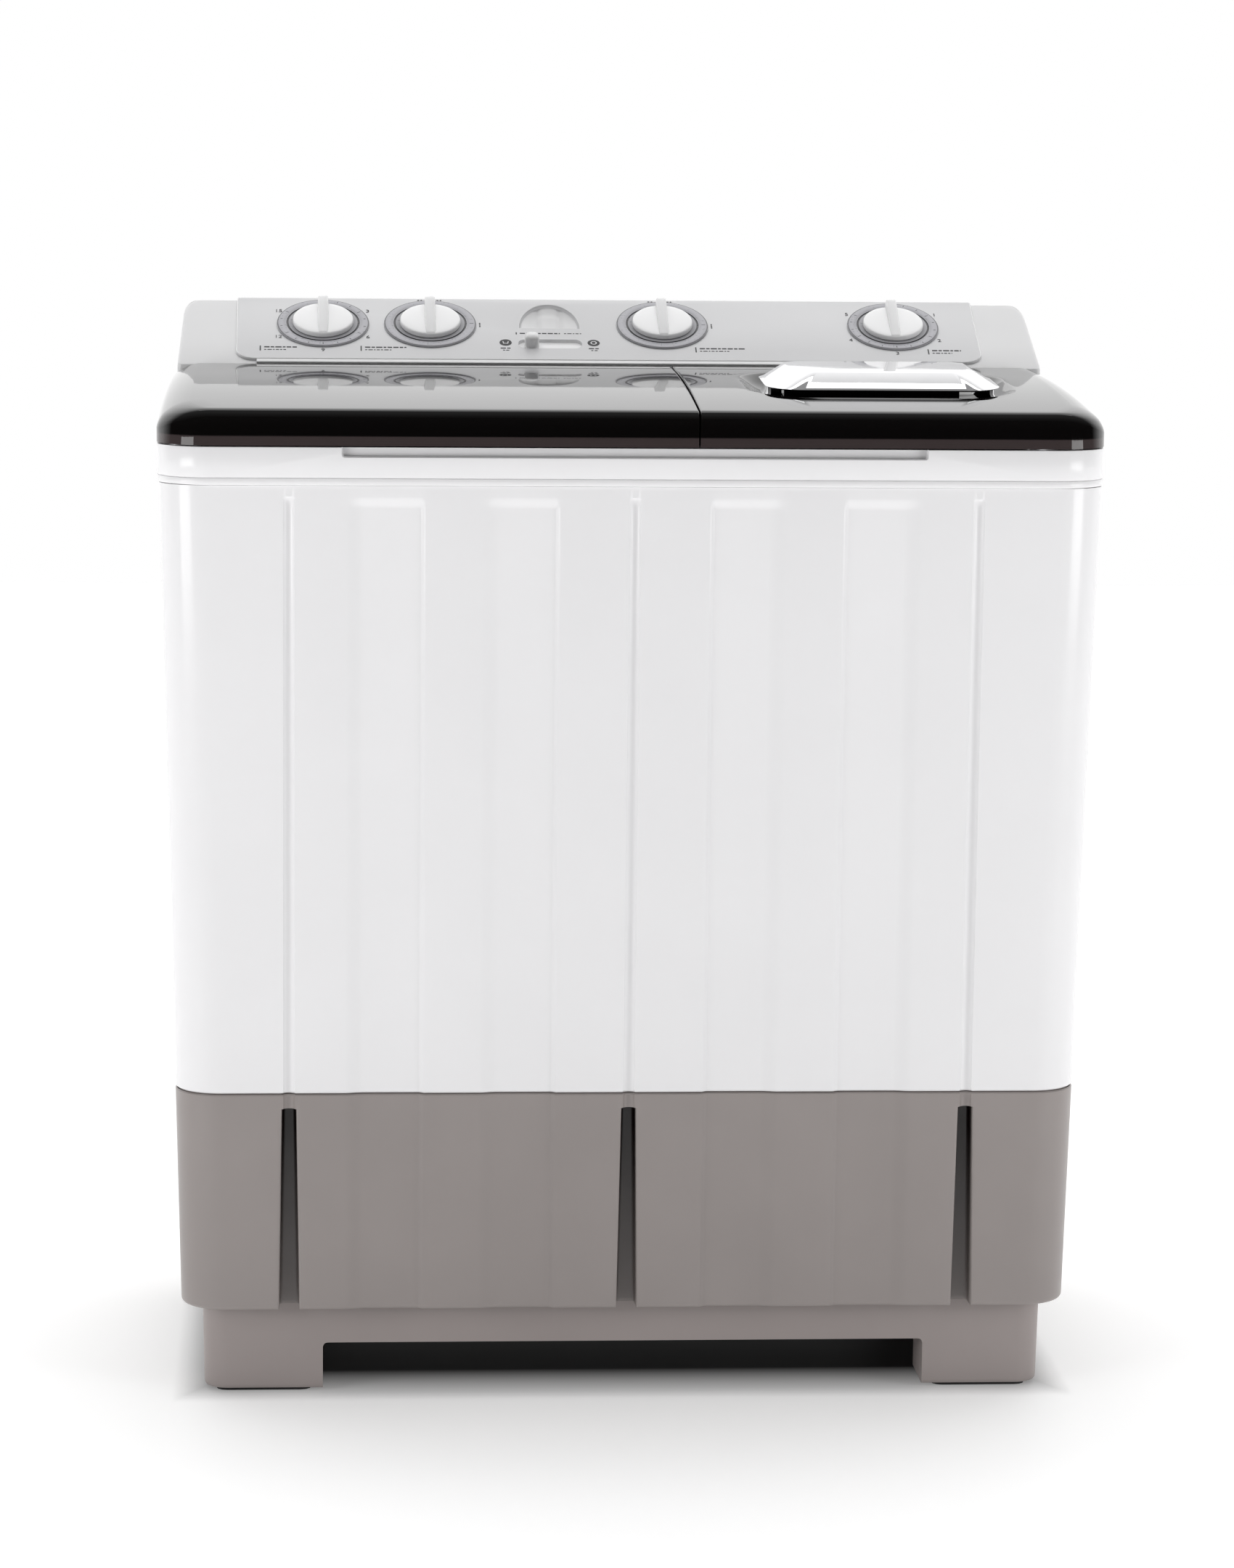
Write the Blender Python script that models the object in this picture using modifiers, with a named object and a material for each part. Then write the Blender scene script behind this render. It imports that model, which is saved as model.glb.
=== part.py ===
"""Twin tub washer: a wash tub and a spin tub under two smoked lids, with a sloping panel behind them.

Metres, +Z up, front towards -Y, floor at z = 0. Every separate physical piece is one object.
"""

import math

import bmesh
import bpy
from mathutils import Matrix, Vector

for old in list(bpy.data.objects):
    bpy.data.objects.remove(old, do_unlink=True)

PARTS = bpy.data.collections.new("twin_tub_washer")
CUTTERS = bpy.data.collections.new("cutters")
bpy.context.scene.collection.children.link(PARTS)
bpy.context.scene.collection.children.link(CUTTERS)

GAP = 0.0003
WALL = 0.0025
WELD = 0.00001
SHARP_ANGLE = math.radians(35)

# Rim and lids
HALF_W = 0.430
FRONT_Y = -0.255
BACK_Y = 0.255
RIM_R = 0.050
RIM_BOTTOM = 0.8480
RIM_TOP = 0.8825
DECK_TOP = 0.8695
DECK_UNDER = 0.8665
LID_BOTTOM = 0.8835
LID_REAR_Y = 0.116
CROWN_TOP = 0.935
CROWN_Y = 0.118
CROWN_K = 0.138
SPLIT_X = 0.0570
SPLIT_GAP = 0.0014
HINGE_Y = 0.110
HINGE_Z = 0.926
HINGE_BAR = 0.008
HINGE_R = 0.005
PIN_R = 0.0030
PIN_BORE_R = 0.0033
PIN_LENGTH = 0.0180
HINGE_POSTS = {
    "wash_lid_left": -0.392,
    "wash_lid_right": 0.018,
    "spin_lid_left": 0.092,
    "spin_lid_right": 0.378,
}

# Cabinet walls lean inwards towards the floor
BODY_TOP = 0.8476
BODY_HALF_W = 0.428
BODY_FRONT_Y = -0.2525
BODY_BACK_Y = 0.2505
SIDE_DRAFT = 0.0225
FRONT_DRAFT = 0.0236
BODY_R = 0.042
SEAM_Z = 0.290
SKIRT_BOTTOM = 0.086
GROOVES = (-0.311, 0.0, 0.311)
PANELS = ((-0.2517, -0.1906), (-0.1295, -0.0697), (0.0697, 0.1295), (0.1906, 0.2517))
PANEL_DEPTH = 0.004
PANEL_TOP = 0.8285
GROOVE_WIDTH = 0.010
GROOVE_DEPTH = 0.0045
SLOT_TOP = 0.2755
SLOT_DEPTH = 0.0225
SLOT_WIDTH_TOP = 0.0132
SLOT_WIDTH_BOTTOM = 0.0187

# Base
BASE_HALF_W = 0.3925
BASE_FRONT_Y = -0.2055
BASE_BACK_Y = 0.225
BASE_BOTTOM = 0.047
BASE_TOP = 0.135
FLOOR_UNDER = 0.051
FOOT_INNER_X = 0.280
FOOT_DEPTH = 0.067
PAD_H = 0.003

# Console
CONSOLE_FRONT_Y = 0.1235
CONSOLE_BACK_Y = 0.249
CONSOLE_BASE = DECK_TOP + GAP
PANEL_ANGLE = math.radians(27)
PANEL_ORIGIN = Vector((0, CONSOLE_FRONT_Y, 0.9345))
PANEL_S = Vector((0, math.cos(PANEL_ANGLE), math.sin(PANEL_ANGLE)))
PANEL_N = Vector((0, -math.sin(PANEL_ANGLE), math.cos(PANEL_ANGLE)))
SLOPE_LENGTH = 0.1215
PLATE_HALF_W = 0.3645
PLATE_T = 0.003
PLATE_FOOT = 0.0055
DIAL_S = 0.072
DIAL_X = {"wash_timer": -0.280, "wash_selector": -0.175, "drain_selector": 0.0535, "spin_timer": 0.282}
SLIDER_X = -0.0763
SLIDER_S = 0.0360
CHANNEL_X0 = -0.0896
CHANNEL_X1 = -0.0270
SCOOP_X = -0.0580
SCOOP_S = 0.0660
SCOOP_SIZE = (0.0300, 0.0470, 0.0125)

# Tubs and drives
WASH = (-0.190, -0.060)
SPIN = (0.235, -0.060)
WASH_MOTOR = (-0.300, 0.060)
DISH = (0.236, -0.065)
HANDLE = (0.236, -0.0925)
VALVE = (-0.020, 0.165)
DRAIN_HOLE = (-0.065, 0.015)
TUB_TOP = DECK_UNDER - GAP
TUB_FLOOR = 0.4075
FLOOR_TOP = 0.0513
PULLEY_Z0 = 0.285
PULLEY_Z1 = 0.305
SPIN_MOTOR_Z = 0.1056
BRAKE_PIVOT = (0.268, 0.005)
OUTLET_X = -0.350
OUTLET_Z = 0.165
GLAND_X = 0.350
INLET_Z = 0.945
FILTER_Z0 = 0.560
FILTER_Z1 = 0.740


def material(name, rgb, roughness, metallic=0.0):
    mat = bpy.data.materials.new(name)
    mat.use_nodes = True
    bsdf = mat.node_tree.nodes["Principled BSDF"]
    bsdf.inputs["Base Color"].default_value = (*rgb, 1.0)
    bsdf.inputs["Roughness"].default_value = roughness
    bsdf.inputs["Metallic"].default_value = metallic
    return mat


WHITE_BODY = material("white_body", (0.80, 0.80, 0.82), 0.25)
WHITE_FRAME = material("white_frame", (0.80, 0.80, 0.82), 0.25)
GREY_BODY = material("grey_body", (0.27, 0.245, 0.235), 0.38)
PLINTH = material("plinth", (0.31, 0.275, 0.265), 0.45)
BACK_COVER = material("back_cover", (0.62, 0.62, 0.63), 0.45)
RUBBER = material("rubber", (0.03, 0.03, 0.03), 0.75)
STEEL = material("hinge_steel", (0.55, 0.55, 0.56), 0.35, 1.0)
SMOKE = material("smoked_lid", (0.02, 0.016, 0.016), 0.08)
CHROME = material("chrome", (0.85, 0.85, 0.86), 0.06, 1.0)
CONSOLE = material("console_plastic", (0.72, 0.72, 0.72), 0.35)
PLATE = material("panel_plate", (0.66, 0.66, 0.67), 0.32)
RING = material("dial_ring", (0.45, 0.45, 0.49), 0.4)
KNOB = material("knob", (0.75, 0.75, 0.76), 0.3)
SLIDER = material("slider", (0.78, 0.78, 0.79), 0.3)
TIMER_CASE = material("timer_case", (0.55, 0.50, 0.38), 0.5)
PORT = material("port_plastic", (0.10, 0.10, 0.11), 0.4)
TUB = material("tub_plastic", (0.72, 0.75, 0.78), 0.3)
PULSATOR = material("pulsator_plastic", (0.30, 0.42, 0.62), 0.3)
PIPE = material("pipe_plastic", (0.16, 0.17, 0.18), 0.45)
CAST = material("cast_aluminium", (0.50, 0.50, 0.51), 0.5, 1.0)
PULLEY = material("pulley_plastic", (0.05, 0.05, 0.055), 0.5)
MOTOR = material("motor_paint", (0.06, 0.06, 0.07), 0.45)
BASKET = material("basket_steel", (0.55, 0.55, 0.56), 0.25, 1.0)

# Frames that lay the local Z axis along world Y or world X
Z_TO_Y = Matrix(((1, 0, 0, 0), (0, 0, 1, 0), (0, -1, 0, 0), (0, 0, 0, 1)))
Z_TO_X = Matrix(((0, 0, 1, 0), (1, 0, 0, 0), (0, 1, 0, 0), (0, 0, 0, 1)))


def at(x, y, z=0.0, turn=Matrix()):
    return Matrix.Translation((x, y, z)) @ turn


def add(name, mesh, mat=None, matrix=Matrix()):
    """Make an object from a mesh. Without a material it is a cutter."""
    obj = bpy.data.objects.new(name, mesh)
    obj.matrix_world = matrix
    if mat is None:
        CUTTERS.objects.link(obj)
        obj.hide_render = True
        obj.display_type = "WIRE"
    else:
        PARTS.objects.link(obj)
        mesh.materials.append(mat)
    mesh.shade_smooth()
    mesh.set_sharp_from_angle(angle=SHARP_ANGLE)
    return obj


def to_mesh(name, bm):
    mesh = bpy.data.meshes.new(name)
    bm.to_mesh(mesh)
    bm.free()
    return mesh


def block(name, low, high, mat=None, matrix=Matrix()):
    """Box between two opposite corners."""
    low, high = Vector(low), Vector(high)
    bm = bmesh.new()
    bmesh.ops.create_cube(bm, size=1.0, matrix=Matrix.Diagonal((*(high - low), 1.0)))
    return add(name, to_mesh(name, bm), mat, matrix @ Matrix.Translation((low + high) / 2))


def cylinder(name, radius, low, high, steps, mat=None, matrix=Matrix()):
    """Cylinder about the local Z axis, between two heights."""
    bm = bmesh.new()
    middle = Matrix.Translation((0, 0, (low + high) / 2))
    bmesh.ops.create_cone(
        bm, cap_ends=True, segments=steps, radius1=radius, radius2=radius, depth=high - low, matrix=middle
    )
    return add(name, to_mesh(name, bm), mat, matrix)


def turned(name, profile, steps, mat=None, matrix=Matrix(), ring=False):
    """Turn (radius, height) points about the local Z axis.

    A ring's profile closes on itself. Any other profile is closed along the axis.
    """
    points = list(profile)
    if not ring:
        points = [(0.0, points[0][1])] + points + [(0.0, points[-1][1])]
    pairs = list(zip(points, points[1:] + points[:1]))
    if sum(a[0] * b[1] - b[0] * a[1] for a, b in pairs) > 0:
        points.reverse()
    edges = [(i, i + 1) for i in range(len(points) - 1)]
    if ring:
        edges.append((len(points) - 1, 0))
    mesh = bpy.data.meshes.new(name)
    mesh.from_pydata([(r, 0.0, z) for r, z in points], edges, [])
    obj = add(name, mesh, mat, matrix)
    mod = obj.modifiers.new("turn", "SCREW")
    mod.axis = "Z"
    mod.angle = 2 * math.pi
    mod.steps = steps
    mod.render_steps = steps
    mod.use_smooth_shade = True
    mod.use_merge_vertices = True
    mod.merge_threshold = WELD
    return obj


def from_curve(name, curve, mat, matrix):
    """Make a mesh object from a curve, with its caps welded on."""
    holder = bpy.data.objects.new(name, curve)
    CUTTERS.objects.link(holder)
    graph = bpy.context.evaluated_depsgraph_get()
    mesh = bpy.data.meshes.new_from_object(holder.evaluated_get(graph))
    bpy.data.objects.remove(holder, do_unlink=True)
    bm = bmesh.new()
    bm.from_mesh(mesh)
    bmesh.ops.remove_doubles(bm, verts=bm.verts, dist=WELD)
    bmesh.ops.recalc_face_normals(bm, faces=bm.faces)
    bm.to_mesh(mesh)
    bm.free()
    mesh.name = name
    mesh.materials.clear()
    return add(name, mesh, mat, matrix)


def outline(name, loops, low, high, mat=None, matrix=Matrix()):
    """Flat piece between two heights, from loops of (x, y) points. A loop inside another is a hole."""
    curve = bpy.data.curves.new(name, "CURVE")
    curve.dimensions = "2D"
    curve.fill_mode = "BOTH"
    curve.extrude = (high - low) / 2
    for loop in loops:
        spline = curve.splines.new("POLY")
        spline.points.add(len(loop) - 1)
        for point, (x, y) in zip(spline.points, loop):
            point.co = (x, y, 0.0, 1.0)
        spline.use_cyclic_u = True
    return from_curve(name, curve, mat, matrix @ Matrix.Translation((0, 0, (low + high) / 2)))


def tube(name, path, r_out, r_in, mat):
    """Hollow pipe along a path of points."""
    curve = bpy.data.curves.new(name, "CURVE")
    curve.dimensions = "3D"
    curve.bevel_depth = r_out
    curve.bevel_resolution = 3
    spline = curve.splines.new("POLY")
    spline.points.add(len(path) - 1)
    for point, place in zip(spline.points, path):
        point.co = (*place, 1.0)
    return hollow_out(from_curve(name, curve, mat, Matrix()), r_out - r_in)


def hollow_out(obj, thickness, offset=-1.0):
    """Give an open surface a wall: inwards with an offset of -1, outwards with an offset of 1."""
    mod = obj.modifiers.new("wall", "SOLIDIFY")
    mod.thickness = thickness
    mod.offset = offset
    mod.use_even_offset = True
    return obj


def soften(obj, width, segments=2):
    """Round the sharp edges of an object."""
    mod = obj.modifiers.new("round", "BEVEL")
    mod.width = width
    mod.segments = segments
    mod.limit_method = "ANGLE"
    mod.angle_limit = math.radians(50)
    return obj


def loft(name, rings, mat=None, matrix=Matrix(), capped=True, strips=False, origin=(0, 0, 0)):
    """Join equal rings in order, for shapes whose section changes.

    The two ends are capped with one face each, or with strips from side to side on crowned ends.
    """
    n = len(rings[0])
    shift = Vector(origin)
    verts = [Vector(p) - shift for ring in rings for p in ring]
    faces = []
    for a in range(0, len(verts) - n, n):
        faces.extend((a + i, a + (i + 1) % n, a + n + (i + 1) % n, a + n + i) for i in range(n))
    ends = (0, len(verts) - n) if capped else ()
    for start in ends:
        if strips:
            for i in range(n // 2 - 1):
                faces.append((start + i, start + i + 1, start + n - 2 - i, start + n - 1 - i))
        else:
            faces.append(tuple(range(start, start + n)))
    mesh = bpy.data.meshes.new(name)
    mesh.from_pydata(verts, [], faces)
    if capped:
        bm = bmesh.new()
        bm.from_mesh(mesh)
        bmesh.ops.recalc_face_normals(bm, faces=bm.faces)
        bm.to_mesh(mesh)
        bm.free()
    return add(name, mesh, mat, matrix @ Matrix.Translation(shift))


def combine(obj, operation, *helpers):
    """Cut helpers out of an object, or join them to it, with live Booleans."""
    for helper in helpers:
        mod = obj.modifiers.new(helper.name, "BOOLEAN")
        mod.operation = operation
        mod.solver = "EXACT"
        mod.object = helper


def cut(obj, *helpers):
    combine(obj, "DIFFERENCE", *helpers)


def join(obj, *helpers):
    combine(obj, "UNION", *helpers)


def rounded(x0, x1, y0, y1, r, seg=5, back_r=None):
    """Counter-clockwise rounded rectangle of (x, y) points, starting on the front edge."""
    back = r if back_r is None else back_r
    corners = (
        (x1 - r, y0 + r, -90, r),
        (x1 - back, y1 - back, 0, back),
        (x0 + back, y1 - back, 90, back),
        (x0 + r, y0 + r, 180, r),
    )
    loop = []
    for cx, cy, start, radius in corners:
        for k in range(seg + 1):
            a = math.radians(start + 90 * k / seg)
            loop.append((cx + radius * math.cos(a), cy + radius * math.sin(a)))
    return loop


def centred(centre, hx, hy, r, seg=5):
    return rounded(centre[0] - hx, centre[0] + hx, centre[1] - hy, centre[1] + hy, r, seg)


def raised(loop, z):
    return [(x, y, z) for x, y in loop]


def inset(loop, d):
    """Move a counter-clockwise loop inwards by d, keeping its point count."""
    out = []
    n = len(loop)
    for i in range(n):
        x0, y0 = loop[i - 1]
        x, y = loop[i]
        x1, y1 = loop[(i + 1) % n]
        a = Vector((y0 - y, x - x0)).normalized()
        b = Vector((y - y1, x1 - x)).normalized()
        m = (a + b) / (1 + a.dot(b))
        out.append((x + m.x * d, y + m.y * d))
    return out


def arc(radius, start, end, count):
    """Points of an arc about the origin, angles in degrees."""
    steps = [math.radians(start + (end - start) * k / (count - 1)) for k in range(count)]
    return [(radius * math.cos(a), radius * math.sin(a)) for a in steps]


# Cabinet


def front_line(recess, width, depth):
    """Points across the front face as (x, distance in from the face), left to right."""
    w = width / 2
    points = []
    for x in GROOVES:
        points += [(x - w - 0.0015, 0), (x - w, 0.7 * depth), (x - w / 2, depth)]
        points += [(x + w / 2, depth), (x + w, 0.7 * depth), (x + w + 0.0015, 0)]
    for a, b in PANELS:
        points += [(a - 0.004, 0), (a + 0.004, recess), (b - 0.004, recess), (b + 0.004, 0)]
    return sorted(points)


def cabinet_ring(z, inward=0.0, relief=1.0, width=GROOVE_WIDTH, depth=GROOVE_DEPTH):
    hx = BODY_HALF_W - SIDE_DRAFT * (BODY_TOP - z)
    yf = BODY_FRONT_Y + FRONT_DRAFT * (BODY_TOP - z)
    loop = [(x, yf + off) for x, off in front_line(PANEL_DEPTH * relief, width, depth * relief)]
    loop += rounded(-hx, hx, yf, BODY_BACK_Y, BODY_R)
    return raised(inset(loop, inward) if inward else loop, z)


def make_upper_cabinet():
    levels = ((SEAM_Z + 0.0006, 1), (PANEL_TOP, 1), (PANEL_TOP + 0.006, 0), (BODY_TOP, 0))
    rings = [cabinet_ring(z, 0, relief) for z, relief in levels]
    cabinet = hollow_out(loft("upper_cabinet", rings, WHITE_BODY, capped=False), WALL)
    cut(cabinet, block("upper_rear_opening", (-0.28, 0.235, 0.20), (0.28, 0.27, 0.60)))


def make_lower_cabinet():
    rings = [
        cabinet_ring(SKIRT_BOTTOM, 0.003, 1, SLOT_WIDTH_BOTTOM, SLOT_DEPTH),
        cabinet_ring(SKIRT_BOTTOM + 0.0045, 0, 1, SLOT_WIDTH_BOTTOM, SLOT_DEPTH),
        cabinet_ring(SLOT_TOP, 0, 1, SLOT_WIDTH_TOP, SLOT_DEPTH),
        cabinet_ring(SLOT_TOP + 0.001),
        cabinet_ring(SEAM_Z - 0.0006),
        cabinet_ring(SEAM_Z - 0.0006, WALL + GAP),
        cabinet_ring(SEAM_Z + 0.0075, WALL + GAP),
    ]
    skirt = hollow_out(loft("lower_cabinet", rings, GREY_BODY, capped=False), 0.0022)
    cut(
        skirt,
        block("lower_rear_opening", (-0.28, 0.235, 0.12), (0.28, 0.27, 0.35)),
        cylinder("outlet_hole", 0.0142, 0, 0.03, 16, matrix=at(OUTLET_X, 0.235, OUTLET_Z, Z_TO_Y)),
        cylinder("gland_hole", 0.0090, 0, 0.03, 16, matrix=at(GLAND_X, 0.235, OUTLET_Z, Z_TO_Y)),
    )


def make_back_panel():
    """Sheet cover over the rear opening. Its outline is drawn in X and -Z and laid along Y."""
    cover_matrix = at(0, BODY_BACK_Y + GAP, 0, Z_TO_Y)
    sheet = rounded(-0.296, 0.296, -0.615, -0.106, 0.015, 3)
    cover = outline("back_panel", [sheet], 0, 0.0024, BACK_COVER, cover_matrix)
    for index in range(6):
        x = 0.06 + 0.03 * index
        vent = rounded(x, x + 0.010, -0.26, -0.16, 0.0045, 2)
        cut(cover, outline(f"back_vent_{index + 1}", [vent], -0.01, 0.01, matrix=cover_matrix))


make_upper_cabinet()
make_lower_cabinet()
make_back_panel()

# Base


def base_ring(z, inward=0.0):
    lean = 0.0025 * (1 - z / BASE_TOP)
    x = BASE_HALF_W - lean - inward
    return raised(rounded(-x, x, BASE_FRONT_Y + lean + inward, BASE_BACK_Y - inward, 0.022 - inward), z)


def make_base():
    levels = ((PAD_H + GAP, 0.001), (0.006, 0), (BASE_TOP, 0), (BASE_TOP, 0.004), (FLOOR_UNDER, 0.004))
    base = loft("base_plinth", [base_ring(z, inward) for z, inward in levels], PLINTH)
    foot_y0 = BASE_FRONT_Y + 0.0025 + FOOT_DEPTH
    foot_y1 = BASE_BACK_Y - FOOT_DEPTH
    cut(
        base,
        block("tunnel_front", (-FOOT_INNER_X, -0.30, -0.01), (FOOT_INNER_X, 0.30, BASE_BOTTOM)),
        block("tunnel_side", (-0.5, foot_y0, -0.01), (0.5, foot_y1, BASE_BOTTOM)),
    )
    join(
        base,
        block("tab_left", (-0.4085, -0.12, 0.128), (-0.386, 0.12, 0.134)),
        block("tab_right", (0.386, -0.12, 0.128), (0.4085, 0.12, 0.134)),
    )
    pad_x = (FOOT_INNER_X + BASE_HALF_W - 0.003) / 2
    for end, y in (("front", (BASE_FRONT_Y + foot_y0) / 2), ("rear", (BASE_BACK_Y + foot_y1) / 2)):
        for side, sign in (("left", -1), ("right", 1)):
            shape = centred((0, 0), 0.044, 0.025, 0.010, 3)
            outline(f"foot_pad_{end}_{side}", [shape], 0, PAD_H, RUBBER, at(sign * pad_x, y))


make_base()

# Top frame: rim, deck and hinge posts


def rim_ring(z, inward=0.0):
    loop = rounded(
        -HALF_W + inward, HALF_W - inward, FRONT_Y + inward, BACK_Y - inward, RIM_R - inward, 6
    )
    return raised(loop, z)


def hinge_matrix(x):
    return at(x, HINGE_Y, HINGE_Z, Z_TO_X)


def hinge_bore(name, x):
    return cylinder(name, PIN_BORE_R, -0.002, 0.010, 12, matrix=hinge_matrix(x))


def make_top_frame():
    rings = [
        rim_ring(DECK_TOP, 0.0045),
        rim_ring(RIM_TOP, 0.0045),
        rim_ring(RIM_TOP, 0.0010),
        rim_ring(RIM_TOP - 0.0012),
        rim_ring(0.8552),
        rim_ring(0.8545, 0.0012),
        rim_ring(0.8539),
        rim_ring(RIM_BOTTOM + 0.0010),
        rim_ring(RIM_BOTTOM, 0.0010),
        rim_ring(RIM_BOTTOM, 0.0040),
        rim_ring(DECK_UNDER, 0.0040),
    ]
    frame = loft("top_frame", rings, WHITE_FRAME)
    cut(
        frame,
        outline("wash_opening", [centred(WASH, 0.2030, 0.1560, 0.065, 6)], 0.85, 0.89),
        cylinder("spin_opening", 0.1420, 0.85, 0.89, 36, matrix=at(*SPIN)),
    )
    join(frame, block("splash_wall", (-0.2800, -0.2515, 0.8680), (0.2800, -0.2440, RIM_TOP)))
    cut(frame, block("finger_notch", (-0.2632, -0.26, 0.8738), (0.2632, -0.2475, 0.90)))
    foot = DECK_TOP - 0.0015 - HINGE_Z
    for name, x in HINGE_POSTS.items():
        shape = [(-HINGE_R, foot), (HINGE_R, foot)] + arc(HINGE_R, 0, 180, 7)
        join(frame, outline(f"{name}_post", [shape], 0, HINGE_BAR, matrix=hinge_matrix(x)))
        cut(frame, hinge_bore(f"{name}_post_bore", x))
        cylinder(f"{name}_hinge_pin", PIN_R, -GAP, PIN_LENGTH - GAP, 12, STEEL, hinge_matrix(x))


make_top_frame()

# Lids


def crown(y):
    return CROWN_TOP - CROWN_K * (CROWN_Y - y) ** 2


LID_RINGS = (
    # side inset, side drop, front inset, front drop, edge inset, edge drop
    (0.0, None, 0.0, None, 0.0, None),
    (0.0, 0.0240, 0.0, 0.0065, 0.0, 0.0015),
    (0.0015, 0.0190, 0.0006, 0.0040, 0.0003, 0.0008),
    (0.0060, 0.0118, 0.0020, 0.0019, 0.0008, 0.0003),
    (0.0140, 0.0056, 0.0042, 0.0006, 0.0012, 0.0001),
    (0.0230, 0.0017, 0.0075, 0.0001, 0.0016, 0.0),
    (0.0310, 0.0, 0.0110, 0.0, 0.0020, 0.0),
)
VOID_RINGS = (LID_RINGS[0], LID_RINGS[1], LID_RINGS[3], LID_RINGS[4], LID_RINGS[6])
VOID_REAR_Y = 0.14
VOID_BOTTOM = 0.870
CORNER_STEP = 15
SIDE_STEPS = 6


def lid_ring(spec, outer_x, split_x, shrink=0.0, rear_y=LID_REAR_Y, bottom=LID_BOTTOM):
    """One ring of a lid, rounded at the front and the outer side and square at the other two edges."""
    si, sd, fi, fd, ei, ed = spec
    sign = 1 if split_x > outer_x else -1
    si, fi, ei = si + shrink, fi + shrink, ei + shrink
    rows = []
    for degrees in range(0, 91, CORNER_STEP):
        t = math.radians(degrees)
        x = outer_x + sign * (si + (RIM_R - si) * (1 - math.sin(t)))
        y = FRONT_Y + fi + (RIM_R - fi) * (1 - math.cos(t))
        rows.append((x, y, math.sin(t) ** 2))
    rear = rear_y - (ei - shrink)
    first = FRONT_Y + RIM_R
    for k in range(1, SIDE_STEPS + 1):
        rows.append((outer_x + sign * si, first + (rear - first) * k / SIDE_STEPS, 1.0))
    near, far = [], []
    for i, (x, y, w) in enumerate(rows):
        if sd is None:
            z_side = z_edge = bottom
        else:
            z_side = crown(y) - (fd * (1 - w) + sd * w) - shrink
            z_edge = crown(y) - (fd if i == 0 else ed) - shrink
        if sd is not None and i == len(rows) - 1 and not shrink:
            z_side -= ed
        far.append((x, y, z_side))
        near.append((split_x - sign * ei, y, z_edge))
    ring = near + far[::-1]
    return ring if sign < 0 else ring[::-1]


def make_lid(name, outer_x, split_x):
    hinge = ((outer_x + split_x) / 2, HINGE_Y, HINGE_Z)
    rings = [lid_ring(s, outer_x, split_x) for s in LID_RINGS]
    lid = loft(name, rings, SMOKE, strips=True, origin=hinge)
    rings = [lid_ring(s, outer_x, split_x, WALL, VOID_REAR_Y, VOID_BOTTOM) for s in VOID_RINGS]
    void = loft(f"{name}_void", rings, strips=True)
    cut(lid, void)
    for side in ("left", "right"):
        x = HINGE_POSTS[f"{name}_{side}"] + HINGE_BAR + 0.0008
        shape = arc(HINGE_R, 180, 360, 7) + [(HINGE_R, 0.0074), (-HINGE_R, 0.0074)]
        join(lid, outline(f"{name}_{side}_ear", [shape], 0, HINGE_BAR, matrix=hinge_matrix(x)))
        cut(lid, hinge_bore(f"{name}_{side}_ear_bore", x))
    return lid, void


DISH_STEPS = (
    # distance in from the outline, depth
    (0.0, 0.0),
    (0.004, 0.0012),
    (0.010, 0.0045),
    (0.018, 0.0092),
    (0.030, 0.0138),
    (0.045, 0.0160),
)
DISH_HALF = (0.129, 0.112)
DISH_R = 0.075
DISH_BLEND = 0.045


def dish_height(y, step_in, depth):
    """Height of the dish at a distance in from its outline."""
    w = min(1.0, step_in / DISH_BLEND)
    return crown(y) * (1 - w) + crown(DISH[1]) * w - depth


def dish_ring(step_in, depth, grow=0.0, lift=0.0):
    change = grow - step_in
    r = DISH_R - 0.8 * step_in + grow
    loop = centred(DISH, DISH_HALF[0] + change, DISH_HALF[1] + change, r, 6)
    return [(x, y, dish_height(y, step_in, depth) + lift) for x, y in loop]


def make_dish(lid, void):
    """The hollow under the handle: a bowl left standing in the void, then the dish cut into it."""
    bowl = [dish_ring(0.0, 0.001, WALL)] + [dish_ring(i, d + WALL, WALL) for i, d in DISH_STEPS]
    cut(void, loft("dish_bowl", bowl, strips=True))
    dish = [dish_ring(0.0, 0.0, lift=0.010)] + [dish_ring(i, d) for i, d in DISH_STEPS]
    cut(lid, loft("dish_cut", dish, strips=True))


HANDLE_HALF = (0.109, 0.0625)
HANDLE_STEPS = (
    # inset at the ends, at the front and at the back, share of the way from the foot to the top
    (0.0040, 0.0030, 0.0030, 0.0),
    (0.0, 0.0, 0.0, 0.10),
    (0.0045, 0.0008, 0.0008, 0.18),
    (0.0230, 0.0180, 0.0040, 0.94),
    (0.0270, 0.0240, 0.0070, 1.0),
)
HANDLE_FOOT = 0.0035
HANDLE_TOP = 0.9455
HANDLE_SLOPE = 0.038
HANDLE_CREST_Y = -0.135
WEB_HALF = 0.083
WEB_Y = (-0.0420, -0.0360)
LEG_INSET = (0.002, 0.014)
LEG_Y = (-0.1140, -0.0625)
LEG_TOP = 0.0060
LEG_CLEARANCE = 0.0008


def handle_ring(end, front, back, share):
    """The foot of the handle follows the lid, and its top is nearly level."""
    x0, x1 = HANDLE[0] - HANDLE_HALF[0] + end, HANDLE[0] + HANDLE_HALF[0] - end
    y0, y1 = HANDLE[1] - HANDLE_HALF[1] + front, HANDLE[1] + HANDLE_HALF[1] - back
    ring = []
    for x, y in rounded(x0, x1, y0, y1, 0.034 - 0.45 * end, 5, 0.030 - 0.45 * end):
        foot = crown(y) + HANDLE_FOOT
        top = HANDLE_TOP + HANDLE_SLOPE * (y - HANDLE_CREST_Y)
        ring.append((x, y, foot + (top - foot) * share))
    return ring


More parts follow.
